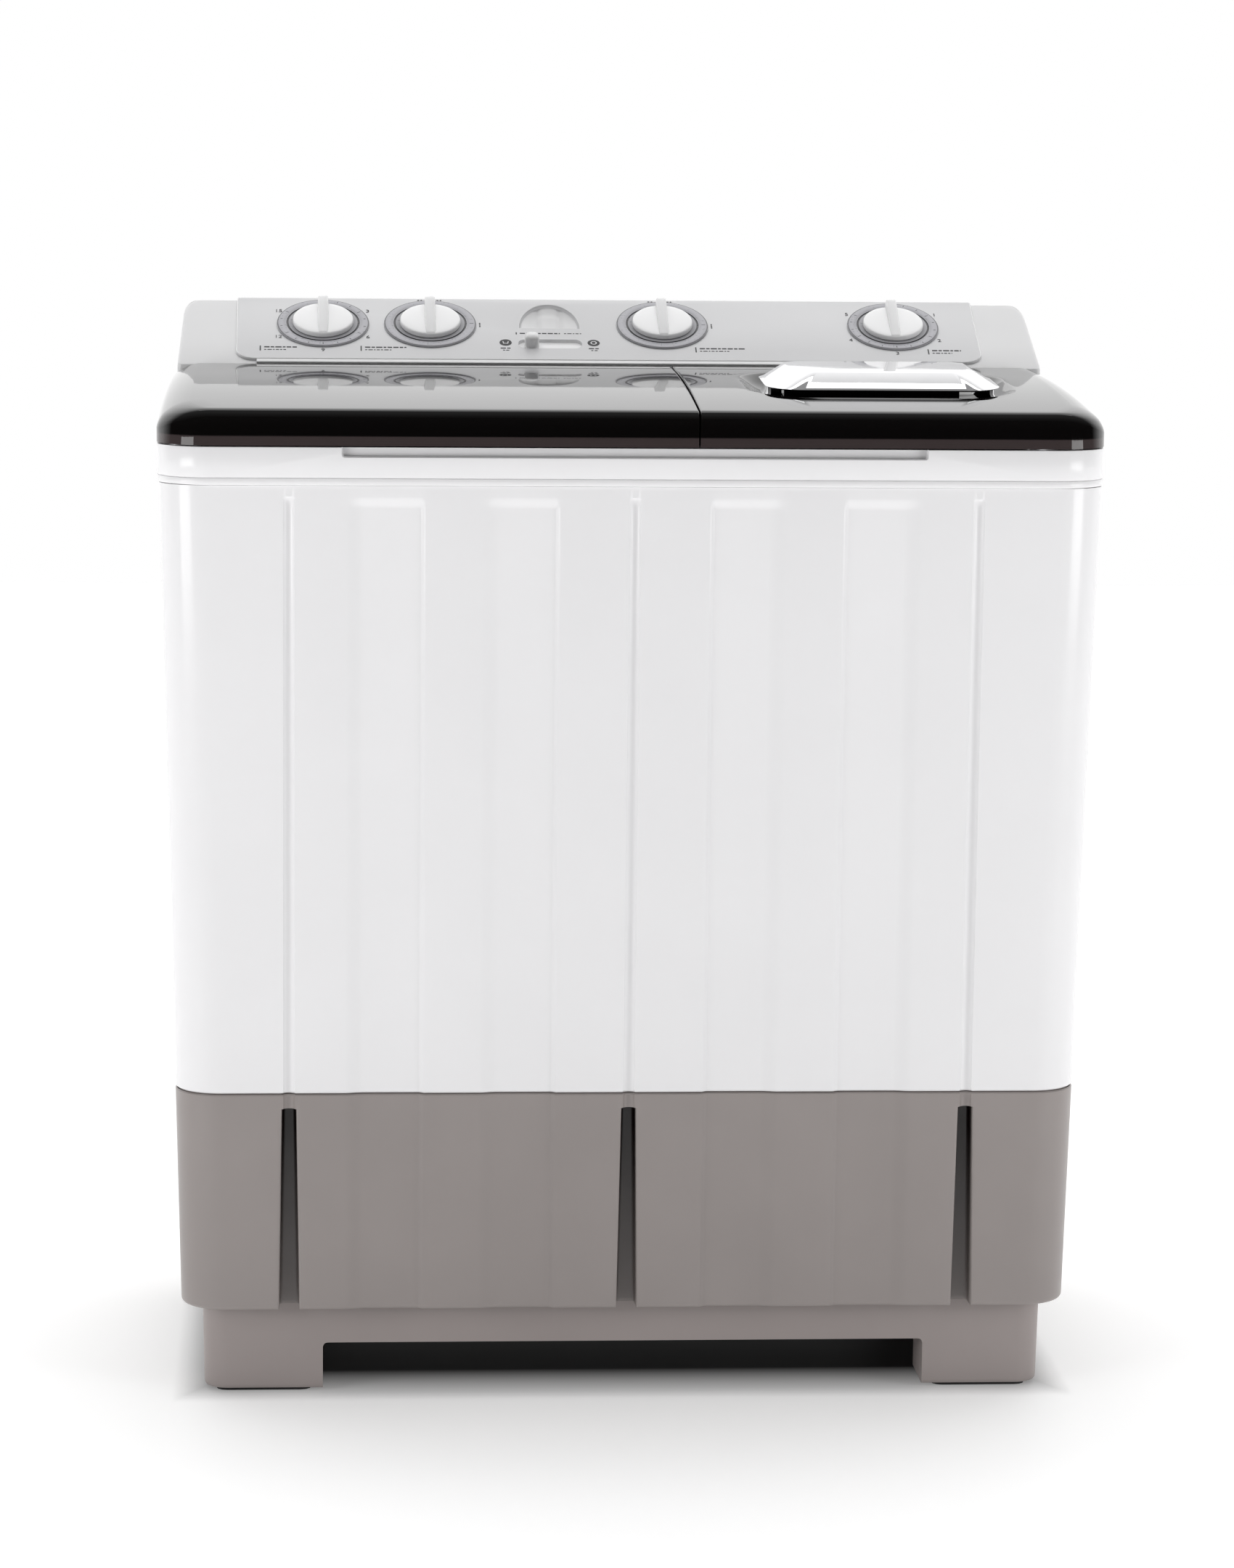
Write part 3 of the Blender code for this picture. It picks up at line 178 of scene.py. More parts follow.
def noise(tree, vector, scale, detail=3.0, roughness=0.5):
    return made(tree, "TexNoise", Scale=scale, Detail=detail, Roughness=roughness, Vector=vector).outputs["Fac"]


def ranged(tree, value, low, high, source=(0.3, 0.7)):
    ends = {"From_Min": source[0], "From_Max": source[1], "To_Min": low, "To_Max": high}
    return made(tree, "MapRange", Value=value, **ends).outputs["Result"]


def blended(tree, factor, a, b):
    """Two colours, or sockets that give colours, mixed by a factor."""
    node = tree.nodes.new("ShaderNodeMix")
    node.data_type = "RGBA"
    for name, value in (("A", a), ("B", b), ("Factor", factor)):
        fill(tree, node.inputs[name], (*value, 1.0) if isinstance(value, (tuple, list)) else value)
    return node.outputs["Result"]


def joined(tree, operation, a, b=0.0):
    """Two values, or a value and a number, put through one Math node."""
    node = tree.nodes.new("ShaderNodeMath")
    node.operation = operation
    fill(tree, node.inputs[0], a)
    fill(tree, node.inputs[1], b)
    return node.outputs["Value"]


def length(tree, vector):
    node = tree.nodes.new("ShaderNodeVectorMath")
    node.operation = "LENGTH"
    tree.links.new(vector, node.inputs[0])
    return node.outputs["Value"]


def split_up(tree, vector):
    return made(tree, "SeparateXYZ", Vector=vector).outputs


def bumped(tree, bsdf, height, strength, distance):
    node = made(tree, "Bump", Strength=strength, Distance=distance, Height=height)
    tree.links.new(node.outputs["Normal"], bsdf.inputs["Normal"])


def finished(tree, bsdf, colour, roughness):
    tree.links.new(colour, bsdf.inputs["Base Color"])
    tree.links.new(roughness, bsdf.inputs["Roughness"])


def moulded(name, colour, roughness, drift=0.02, spread=0.05, grain=900.0, depth=0.00002, strength=0.4, metallic=0.0):
    """Moulded plastic, rubber or paint: slow colour drift, uneven gloss and a fine surface grain."""
    mat, tree, bsdf, where = new_material(name)
    dark = [c * (1 - drift) for c in colour]
    light = [min(1.0, c * (1 + drift)) for c in colour]
    slow = ranged(tree, noise(tree, where, 9.0), 0.0, 1.0)
    sheen = ranged(tree, noise(tree, where, 38.0, 4.0), roughness - spread / 2, roughness + spread / 2)
    finished(tree, bsdf, blended(tree, slow, dark, light), sheen)
    bumped(tree, bsdf, noise(tree, where, grain, 2.0, 0.6), strength, depth)
    bsdf.inputs["Metallic"].default_value = metallic
    return mat


def brushed(name, colour, roughness, stretch, grain=260.0):
    """Metal with fine scratches that are drawn out where stretch holds a small number."""
    mat, tree, bsdf, where = new_material(name)
    bsdf.inputs["Metallic"].default_value = 1.0
    lines = noise(tree, made(tree, "Mapping", Scale=stretch, Vector=where).outputs["Vector"], grain, 4.0, 0.7)
    tone = blended(tree, ranged(tree, lines, 0.0, 1.0), [c * 0.92 for c in colour], colour)
    finished(tree, bsdf, tone, ranged(tree, lines, roughness - 0.06, roughness + 0.08))
    bumped(tree, bsdf, lines, 0.35, 0.00003)
    return mat


def slotted_plastic():
    """The grey plastic of the skirt, with painted shade deep in the slots that is darkest at their tops."""
    mat = moulded("skirt_plastic_painted_shade", GREY_COLOUR, *GREY_FINISH)
    tree = mat.node_tree
    base = tree.nodes["Principled BSDF"].inputs["Base Color"]
    plain = base.links[0].from_socket
    x, y, z = split_up(tree, made(tree, "TexCoord").outputs["Object"])
    level = joined(tree, "ADD", y, joined(tree, "MULTIPLY", z, FRONT_DRAFT))
    floor = BODY_FRONT_Y + FRONT_DRAFT * BODY_TOP + STEP_DEPTH
    deep = ranged(tree, level, 0.0, 1.0, (floor + 0.001, floor + 0.007))
    front = ranged(tree, joined(tree, "ABSOLUTE", x), 1.0, 0.0, (0.34, 0.345))
    high = ranged(tree, z, 0.3, 1.0, (SKIRT_BOTTOM + 0.02, SLOT_TOP - 0.02))
    # painted shade: on the front, deep in the slots, the grey goes towards black, more so towards their tops
    shadow = joined(tree, "MULTIPLY", joined(tree, "MULTIPLY", deep, front), high)
    dark = blended(tree, shadow, (0.0, 0.0, 0.0), (0.012, 0.006, 0.006))
    tree.links.new(blended(tree, shadow, plain, dark), base)
    return mat


def smoked_plastic():
    """Dark tinted lid plastic: black where it is deep, with a painted brown glow along the thin lower edge for light
    that would come through it.
    """
    mat, tree, bsdf, where = new_material("smoked_plastic")
    # painted light: the lowest 8 to 9 mm of the lid is brown, standing in for light that shines through the thin
    # plastic
    edge = ranged(tree, split_up(tree, where)["Z"], 1.0, 0.0, (LID_BOTTOM + 0.0078, LID_BOTTOM + 0.0092))
    tint = blended(tree, edge, (0.0022, 0.0018, 0.0018), (0.044, 0.034, 0.034))
    finished(tree, bsdf, tint, ranged(tree, noise(tree, where, 24.0), 0.025, 0.045))
    bumped(tree, bsdf, noise(tree, where, 14.0, 1.0), 0.05, 0.0004)
    bsdf.inputs["IOR"].default_value = 1.5
    return mat


def chrome_plate():
    """Bright plating, with painted shade that turns the faces looking down near black."""
    mat, tree, bsdf, where = new_material("chrome_plate")
    bsdf.inputs["Metallic"].default_value = 1.0
    haze = noise(tree, where, 60.0, 3.0)
    bright = blended(tree, haze, (0.8, 0.8, 0.81), (0.86, 0.86, 0.87))
    # painted shade: faces that look down in the world get a near black colour
    upward = split_up(tree, made(tree, "NewGeometry").outputs["Normal"])["Z"]
    plating = blended(tree, ranged(tree, upward, 0.0, 1.0, (-0.4, -0.1)), (0.01, 0.01, 0.01), bright)
    finished(tree, bsdf, plating, ranged(tree, haze, 0.02, 0.05))
    bumped(tree, bsdf, noise(tree, where, 22.0, 1.0), 0.04, 0.0003)
    return mat


def dial_print():
    """The dial ring: grey bands by distance from the knob's axis, with painted shadow under the knob, painted shade in
    the groove and a painted highlight on the groove's outer lip.
    """
    mat, tree, bsdf, where = new_material("dial_print")
    x, y, _ = split_up(tree, where)
    radius = length(tree, made(tree, "CombineXYZ", X=x, Y=y).outputs["Vector"])
    ramp = made(tree, "ValToRGB", Fac=ranged(tree, radius, 0.0, 1.0, (0.0, RAMP_END)))
    # radius, grey: painted shadow of the knob rising to mid grey, painted shade in the groove, a painted highlight on
    # its outer lip, the lilac face, a darker line near the outer edge, a light rim
    bands = (
        (0.03, 0.26), (0.0336, 0.34), (0.0339, 0.075), (0.0358, 0.085), (0.0361, 0.52), (0.0368, 0.4),
        (0.04, 0.47), (0.0436, 0.44), (0.044, 0.16), (0.0449, 0.15), (0.0451, 0.5),
    )
    stops = ramp.color_ramp.elements
    for at, _ in bands[2:]:
        stops.new(at / RAMP_END)
    for stop, (at, grey) in zip(stops, bands):
        stop.position = at / RAMP_END
        stop.color = (grey, grey * 0.995, grey * 1.06, 1.0)
    finished(tree, bsdf, ramp.outputs["Color"], ranged(tree, noise(tree, where, 300.0), 0.26, 0.34))
    bumped(tree, bsdf, noise(tree, where, 1500.0), 0.2, 0.00001)
    return mat


RAMP_END = 0.05
GREY_COLOUR = (0.285, 0.255, 0.245)
GREY_FINISH = (0.36, 0.03, 0.06, 2600.0, 0.00004, 0.35)
WHITE = moulded("white_plastic", (0.83, 0.825, 0.835), 0.17, 0.008, 0.05, 420.0, 0.00002, 0.12)
GREY = moulded("grey_plastic", GREY_COLOUR, *GREY_FINISH)
PLINTH = moulded("plinth_plastic", (0.325, 0.285, 0.275), 0.44, 0.03, 0.06, 2600.0, 0.00004, 0.35)
CONSOLE = moulded("console_plastic", (0.76, 0.76, 0.765), 0.3, 0.012, 0.03, 1800.0, 0.000006, 0.1)
PLATE = moulded("panel_plate", (0.65, 0.65, 0.66), 0.3, 0.012, 0.03, 2200.0, 0.000004, 0.1)
KNOB = moulded("knob_plastic", (0.93, 0.93, 0.935), 0.2, 0.01, 0.06, 900.0, 0.00001, 0.2)
CLEAR_WHITE = moulded("slider_plastic", (0.86, 0.86, 0.865), 0.14, 0.01, 0.04, 700.0, 0.00001, 0.2)
TUB = moulded("tub_plastic", (0.7, 0.73, 0.76), 0.28, 0.02, 0.08, 900.0, 0.00003, 0.3)
BLUE = moulded("pulsator_plastic", (0.22, 0.36, 0.6), 0.26, 0.03, 0.08, 900.0, 0.00003, 0.3)
BLACK_PLASTIC = moulded("black_plastic", (0.022, 0.022, 0.024), 0.42, 0.06, 0.08, 1600.0, 0.00004, 0.4)
PIPE = moulded("pipe_plastic", (0.11, 0.115, 0.12), 0.46, 0.05, 0.08, 1200.0, 0.00004, 0.4)
RUBBER = moulded("rubber", (0.022, 0.022, 0.022), 0.72, 0.08, 0.08, 2000.0, 0.00006, 0.6)
TIMER_CASE = moulded("timer_case", (0.5, 0.45, 0.33), 0.5, 0.04, 0.08, 900.0, 0.00003, 0.4)
PAINTED = moulded("back_cover_paint", (0.58, 0.58, 0.59), 0.4, 0.02, 0.06, 1300.0, 0.00005, 0.4)
MOTOR = moulded("motor_paint", (0.045, 0.045, 0.05), 0.45, 0.06, 0.1, 700.0, 0.00006, 0.5)
CAST = moulded("cast_aluminium", (0.52, 0.52, 0.53), 0.45, 0.05, 0.12, 800.0, 0.0001, 0.6, metallic=1.0)
INK = moulded("print_ink", (0.03, 0.03, 0.033), 0.5, 0.05, 0.05, 2000.0, 0.00001, 0.2)
PALE_INK = moulded("pale_print", (0.8, 0.8, 0.81), 0.4, 0.02, 0.05, 2000.0, 0.00001, 0.2)
STEEL = brushed("turned_steel", (0.6, 0.6, 0.61), 0.28, (1.0, 1.0, 14.0))
BASKET = brushed("basket_steel", (0.62, 0.62, 0.63), 0.25, (1.0, 1.0, 24.0), 120.0)
SKIRT = slotted_plastic()
SMOKE = smoked_plastic()
CHROME = chrome_plate()
DIAL = dial_print()


# Mesh tools

WELD = 0.000002


def mesh_of(name, shape, weld=False):
    """A mesh from (vertices, faces) with its normals outwards."""
    mesh = bpy.data.meshes.new(name)
    mesh.from_pydata([tuple(v) for v in shape[0]], [], shape[1])
    bm = bmesh.new()
    bm.from_mesh(mesh)
    if weld:
        bmesh.ops.remove_doubles(bm, verts=bm.verts, dist=WELD)
    bmesh.ops.recalc_face_normals(bm, faces=bm.faces)
    bm.to_mesh(mesh)
    bm.free()
    return mesh


def piece(name, shape, mat, slot, replaces=(), angle=32, matrix=None, body="cabinet"):
    """Make one piece from (vertices, faces) and let it ride on a body."""
    mesh = mesh_of(name, shape, weld=True)
    shade(mesh, angle)
    obj = shown(name, mesh, matrix)
    mesh.materials.append(mat)
    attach(obj, body)
    if replaces:
        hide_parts(*replaces)
    return obj


def shade(mesh, angle):
    mesh.shade_smooth()
    mesh.set_sharp_from_angle(angle=radians(angle))


def settle(obj, angle=32):
    """Apply the object's modifiers to its mesh."""
    graph = bpy.context.evaluated_depsgraph_get()
    mesh = bpy.data.meshes.new_from_object(obj.evaluated_get(graph))
    obj.modifiers.clear()
    obj.data = mesh
    shade(mesh, angle)


def carve(obj, shapes, operation="DIFFERENCE", matrix=None, angle=32):
    """Cut shapes out of a piece, or join them to it."""
    helpers = []
    for index, shape in enumerate(shapes):
        name = f"{obj.name}_helper_{index}"
        helper = shown(name, mesh_of(name, shape), matrix)
        helpers.append(helper)
        mod = obj.modifiers.new(name, "BOOLEAN")
        mod.operation = operation
        mod.solver = "EXACT"
        mod.object = helper
    settle(obj, angle)
    for helper in helpers:
        bpy.data.objects.remove(helper, do_unlink=True)


def thicken(obj, thickness, angle=32, even=True):
    """Give an open sheet a wall on its inner side."""
    mod = obj.modifiers.new("wall", "SOLIDIFY")
    mod.thickness = thickness
    mod.offset = -1.0
    mod.use_even_offset = even
    settle(obj, angle)


def soften(obj, width, segments=3):
    """Round the edges of a piece."""
    mod = obj.modifiers.new("round", "BEVEL")
    mod.width = width
    mod.segments = segments
    mod.limit_method = "ANGLE"
    mod.angle_limit = radians(40)
    mod.use_clamp_overlap = True
    settle(obj, 40)


def loft(rings, closed=False, caps=(True, True), skip=None):
    """Join equal rings in order. skip(ring index, point index) leaves a face out."""
    n = len(rings[0])
    verts = [tuple(p) for ring in rings for p in ring]
    faces = []
    for k in range(len(rings) if closed else len(rings) - 1):
        a = k * n
        b = (k + 1) % len(rings) * n
        for i in range(n):
            if skip is None or not skip(k, i):
                faces.append((a + i, a + (i + 1) % n, b + (i + 1) % n, b + i))
    if not closed:
        if caps[0]:
            faces.append(tuple(range(n)))
        if caps[1]:
            faces.append(tuple(range(len(verts) - n, len(verts))))
    return verts, faces


def merged(shapes):
    """Put several shapes side by side in one."""
    verts, faces = [], []
    for v, f in shapes:
        start = len(verts)
        verts.extend(v)
        faces.extend(tuple(start + i for i in face) for face in f)
    return verts, faces


def rounded(x0, x1, y0, y1, r, z, seg=12, back_r=None):
    """Counter-clockwise rounded rectangle at height z, from the right end of the front edge."""
    back = r if back_r is None else back_r
    turns = (
        (x1 - r, y0 + r, -90, r),
        (x1 - back, y1 - back, 0, back),
        (x0 + back, y1 - back, 90, back),
        (x0 + r, y0 + r, 180, r),
    )
    ring = []
    for cx, cy, start, radius in turns:
        for k in range(seg + 1):
            a = radians(start + 90 * k / seg)
            ring.append((cx + radius * cos(a), cy + radius * sin(a), z))
    return ring


def centred(centre, hx, hy, r, z, seg=12):
    return rounded(centre[0] - hx, centre[0] + hx, centre[1] - hy, centre[1] + hy, r, z, seg)


def corners(x0, x1, y0, y1, z):
    return [(x0, y0, z), (x1, y0, z), (x1, y1, z), (x0, y1, z)]


def box(x0, x1, y0, y1, z0, z1):
    return loft([corners(x0, x1, y0, y1, z) for z in (z0, z1)])


def circle(centre, r, z, n=96):
    steps = [2 * pi * i / n for i in range(n)]
    return [(centre[0] + r * cos(a), centre[1] + r * sin(a), z) for a in steps]


def turned(centre, profile, n=96, closed=False):
    """Body of revolution about a vertical axis from (radius, z) pairs."""
    return loft([circle(centre, r, z, n) for r, z in profile], closed)


def along_y(shape, x, y, z):
    return [(x + v[0], y + v[2], z - v[1]) for v in shape[0]], shape[1]


def along_x(shape, x, y, z):
    return [(x + v[2], y + v[0], z + v[1]) for v in shape[0]], shape[1]


def upright(shape, y):
    """Stand a flat shape up, with its own depth going back from y."""
    return [(v[0], y + v[2], v[1]) for v in shape[0]], shape[1]


def inset(ring, d):
    """Move a counter-clockwise ring inwards by d."""
    out = []
    n = len(ring)
    for i in range(n):
        x0, y0, _ = ring[i - 1]
        x, y, z = ring[i]
        x1, y1, _ = ring[(i + 1) % n]
        a = Vector((y0 - y, x - x0)).normalized()
        b = Vector((y - y1, x1 - x)).normalized()
        m = (a + b) / (1 + a.dot(b))
        out.append((x + m.x * d, y + m.y * d, z))
    return out


def smooth(t):
    t = min(1.0, max(0.0, t))
    return t * t * (3 - 2 * t)


def curve_through(rows, steps):
    """Catmull-Rom interpolation of equal-length rows of numbers."""
    out = []
    for i in range(len(rows) - 1):
        p0, p1, p2, p3 = rows[max(i - 1, 0)], rows[i], rows[i + 1], rows[min(i + 2, len(rows) - 1)]
        for k in range(steps):
            t = k / steps
            out.append(
                tuple(
                    0.5 * (2 * b + (c - a) * t + (2 * a - 5 * b + 4 * c - d) * t * t + (3 * b - a - 3 * c + d) * t**3)
                    for a, b, c, d in zip(p0, p1, p2, p3)
                )
            )
    out.append(tuple(rows[-1]))
    return out


# Cabinet


def groove_points():
    """A soft groove: 23 points as (offset from its middle, depth), left to right."""
    points = [(GROOVE_HALF * k / 8, GROOVE_DEPTH * (1 - (k / 8) ** 2) ** 0.8) for k in range(-8, 9)]
    edges = [GROOVE_HALF + d for d in (0.0008, 0.002, 0.005)]
    return [(-x, 0.0) for x in reversed(edges)] + points + [(x, 0.0) for x in edges]


def slot_points(half):
    """A deep slot with rounded mouth edges and floor corners, with as many points as a soft groove."""
    mouth = [(half + 0.005, 0.0)]
    mouth += [(half + 0.0015 * (1 - sin(a)), 0.0015 * (1 - cos(a))) for a in (0.0, 0.5, 1.0, pi / 2)]
    floor_r = 0.003
    wall = half - 0.0006
    corner = [pi / 2 * k / 5 for k in range(6)]
    mouth += [(wall - floor_r * (1 - cos(a)), SLOT_DEPTH - floor_r * (1 - sin(a))) for a in corner]
    return [(-x, d) for x, d in mouth] + [(0.0, SLOT_DEPTH)] + mouth[::-1]


def recess(x):
    """Depth share of the shallow panels: crisp on the side towards the middle, soft on the other."""
    ax = abs(x)
    share = 0.0
    for sharp, soft in zip(STEP_SHARP, STEP_SOFT):
        share += smooth((ax - sharp + 0.0028) / 0.0056) * (1 - smooth((ax - soft + 0.0085) / 0.017))
    return share


def cabinet_ring(z, inward=0.0, panel=1.0, groove=1.0, slot_half=None, tuck=0.0):
    """One level of the cabinet: a rounded rectangle whose front has grooves or slots and shallow panels."""
    hx = BODY_HALF_W - SIDE_DRAFT * (BODY_TOP - z) - tuck
    yf = BODY_FRONT_Y + FRONT_DRAFT * (BODY_TOP - z) + tuck
    points = []
    for x in GROOVES:
        if slot_half is None:
            points += [(x + off, depth * groove) for off, depth in groove_points()]
        else:
            points += [(x + off, depth) for off, depth in slot_points(slot_half)]
    for sign in (-1, 1):
        points += [(sign * x + 0.0028 * k / 4, 0.0) for x in STEP_SHARP for k in range(-4, 5)]
        points += [(sign * x + 0.0085 * k / 5, 0.0) for x in STEP_SOFT for k in range(-5, 6)]
    ring = [(x, yf + depth + STEP_DEPTH * panel * recess(x), z) for x, depth in sorted(points)]
    ring += rounded(-hx, hx, yf, BODY_BACK_Y - tuck, BODY_R - tuck, z, 14)
    return inset(ring, inward) if inward else ring


def upper_cabinet():
    levels = [(SEAM_Z + 0.0006, 1.0, 1.0, 0.0012)]
    levels += [(z, 1.0, 1.0, 0.0) for z in (SEAM_Z + 0.0018, PANEL_TOP - 0.003)]
    for k in range(1, 9):
        t = k / 8
        levels.append((PANEL_TOP - 0.003 + 0.011 * t, 1 - smooth(t), sqrt(max(0.0, 1 - t * t)), 0.0))
    levels.append((BODY_TOP, 0.0, 0.0, 0.0))
    rings = [cabinet_ring(z, d, p, g) for z, p, g, d in levels]
    shell = piece("upper_shell", loft(rings, caps=(False, False)), WHITE, "white_body", ["upper_cabinet"], 38)
    thicken(shell, 0.0025, 38)
    carve(shell, [box(*REAR_OPENING, 0.2, 0.6)], angle=38)


def lower_cabinet():
    levels = []
    for k in range(7):
        a = radians(90 * k / 6)
        levels.append((SKIRT_BOTTOM + 0.0045 * (1 - cos(a)), 0.0035 * (1 - sin(a))))
    levels += [(SKIRT_BOTTOM + 0.0045 + (SLOT_TOP - SKIRT_BOTTOM - 0.0045) * k / 8, 0.0) for k in range(1, 9)]
    rings = []
    for z, inward in levels:
        half = SLOT_HALF_TOP + (SLOT_HALF_BOTTOM - SLOT_HALF_TOP) * (SLOT_TOP - z) / (SLOT_TOP - SKIRT_BOTTOM)
        rings.append(cabinet_ring(z, slot_half=half, tuck=inward))
    rings += [cabinet_ring(SLOT_TOP + 0.0006), cabinet_ring(SLOT_TOP + 0.0045)]
    rings += [cabinet_ring(SEAM_Z - 0.0018), cabinet_ring(SEAM_Z - 0.0006, 0.0012)]
    shell = piece("lower_skirt", loft(rings, caps=(False, False)), SKIRT, "grey_body", ["lower_cabinet"], 38)
    thicken(shell, 0.0022, 38)
    opening = box(*REAR_OPENING, 0.12, 0.35)
    holes = [opening]
    for x, r in ((OUTLET_X, 0.0142), (GLAND_X, 0.009)):
        holes.append(along_y(turned((0, 0), [(r, 0), (r, 0.03)], 48), x, 0.235, FITTING_Z))
    carve(shell, holes, angle=38)
    lip = [(SEAM_Z - 0.01, 0.003), (SEAM_Z + 0.0075, 0.003), (SEAM_Z + 0.0075, 0.005), (SEAM_Z - 0.01, 0.005)]
    lip_rings = [cabinet_ring(z, inward) for z, inward in lip]
    collar = piece("skirt_lip", loft(lip_rings, closed=True), GREY, "grey_body", angle=38)
    carve(collar, [opening], angle=38)


def base_ring(z, inward=0.0):
    lean = 0.0025 * (1 - z / 0.135)
    x = 0.3925 - lean - inward
    return rounded(-x, x, -0.2055 + lean + inward, 0.225 - inward, 0.022 - inward, z, 12)


def base():
    rings = [base_ring(0.0033, 0.003), base_ring(0.004, 0.0013), base_ring(0.0056, 0.0003), base_ring(0.008)]
    rings += [base_ring(0.135), base_ring(0.135, 0.004), base_ring(0.051, 0.004)]
    body = piece("base", loft(rings), PLINTH, "plinth", ["base_plinth"], 40)
    edge = ((-0.01, 0.0), (0.043, 0.0), (0.0454, 0.001), (0.0466, 0.0024), (0.047, 0.0046))
    lengthways = loft([corners(-0.28 + d, 0.28 - d, -0.3, 0.3, z) for z, d in edge])
    crossways = loft([corners(-0.5, 0.5, -0.136 + d, 0.158 - d, z) for z, d in edge])
    carve(body, [lengthways, crossways], angle=40)
    for side, x0, x1 in (("left", -0.4085, -0.386), ("right", 0.386, 0.4085)):
        soften(piece(f"base_tab_{side}", box(x0, x1, -0.12, 0.12, 0.128, 0.134), PLINTH, "plinth"), 0.0008)


# Top frame


def rim_ring(z, inward=0.0):
    return rounded(-HALF_W + inward, HALF_W - inward, FRONT_Y + inward, BACK_Y - inward, RIM_R - inward, z, 18)


HINGES = {"wash_lid_left": -0.392, "wash_lid_right": 0.018, "spin_lid_left": 0.092, "spin_lid_right": 0.378}


def hinge_arc(a0, a1):
    steps = [radians(a0 + (a1 - a0) * k / 16) for k in range(17)]
    return [(HINGE_R * cos(a), HINGE_R * sin(a)) for a in steps]


def hinge_bar(x, profile):
    """A post or ear: a rounded profile in the Y-Z plane, starting at x."""
    return loft([[(xx, HINGE_Y + dy, HINGE_Z + dz) for dy, dz in profile] for xx in (x, x + HINGE_BAR)])


def hinge_bore(x):
    return along_x(turned((0, 0), [(0.0033, 0), (0.0033, 0.012)], 32), x - 0.002, HINGE_Y, HINGE_Z)


RIM_LEVELS = (
    # height, inset
    (DECK_TOP, 0.0062), (DECK_TOP + 0.0015, 0.0045), (RIM_TOP - 0.0006, 0.0045), (RIM_TOP, 0.0039),
    (RIM_TOP, 0.0012), (RIM_TOP - 0.0004, 0.0004), (RIM_TOP - 0.0013, 0.0), (0.8556, 0.0), (0.855, 0.0003),
    (0.8546, 0.0012), (0.8542, 0.0003), (0.8536, 0.0), (RIM_BOTTOM + 0.0012, 0.0), (RIM_BOTTOM + 0.0004, 0.0004),
    (RIM_BOTTOM, 0.0012), (RIM_BOTTOM, 0.004), (DECK_UNDER, 0.004),
)


def top_frame():
    rings = [rim_ring(z, inward) for z, inward in RIM_LEVELS]
    body = piece("rim_and_deck", loft(rings), WHITE, "white_frame", ["top_frame"], 38)
    wash_cut = loft([centred(WASH, 0.203, 0.156, 0.065, z, 24) for z in (0.85, 0.89)])
    spin_cut = turned(SPIN, [(0.142, 0.85), (0.142, 0.89)], 128)
    carve(body, [box(-0.28, 0.28, -0.2515, -0.244, 0.868, RIM_TOP - 0.0006)], "UNION", angle=38)
    mouth = ((0.0, -0.001), (0.002, 0.0), (0.0074, 0.0006))
    notch = loft([rounded(-0.2632 + d, 0.2632 - d, 0.8738 + d, 0.92, 0.003, y, 6) for y, d in mouth])
    carve(body, [wash_cut, spin_cut, upright(notch, FRONT_Y - 0.0006)], angle=38)
    for name, x in HINGES.items():
        profile = [(-HINGE_R, DECK_TOP - HINGE_Z), (HINGE_R, DECK_TOP - HINGE_Z)] + hinge_arc(0, 180)
        post = piece(f"{name}_post", hinge_bar(x, profile), WHITE, "white_frame")
        carve(post, [hinge_bore(x)])
        soften(post, 0.0005, 2)
        steps = ((DECK_TOP - 0.0002, 0.003), (DECK_TOP + 0.001, 0.0018), (DECK_TOP + 0.0035, 0.0002))
        near, far = HINGE_Y - HINGE_R, HINGE_Y + HINGE_R
        foot = [corners(x - g, x + HINGE_BAR + g, near - g, far + g, z) for z, g in steps]
        piece(f"{name}_post_foot", loft(foot), WHITE, "white_frame", angle=60)


def opening_lips():
    """Raised rounded lips round the two deck openings."""
    wash = []
    spin = []
    for k in range(9):
        a = radians(180 * k / 8)
        out, up = 0.003 * cos(a), 0.0018 * sin(a)
        wash.append(centred(WASH, 0.2062 + out, 0.1592 + out, 0.0682 + out, DECK_TOP - 0.0001 + up, 24))
        spin.append(circle(SPIN, 0.1455 + out, DECK_TOP - 0.0001 + up, 128))
    piece("wash_opening_lip", loft(wash, closed=True), WHITE, "white_frame", angle=60)
    piece("spin_opening_lip", loft(spin, closed=True), WHITE, "white_frame", angle=60)


# Lids


def crown(y):
    return CROWN_TOP - CROWN_K * (CROWN_Y - y) ** 2


LID_EDGE = (
    # side inset, side drop, front inset, front drop, edge inset, edge drop
    (0.0, 0.024, 0.0, 0.0065, 0.0, 0.0015),
    (0.0015, 0.019, 0.0006, 0.004, 0.0003, 0.0008),
    (0.006, 0.0118, 0.002, 0.0019, 0.0008, 0.0003),
    (0.014, 0.0056, 0.0042, 0.0006, 0.0012, 0.0001),
    (0.023, 0.0017, 0.0075, 0.0001, 0.0016, 0.0),
    (0.031, 0.0, 0.011, 0.0, 0.002, 0.0),
)
CORNER_STEPS = 20
SIDE_STEPS = 16


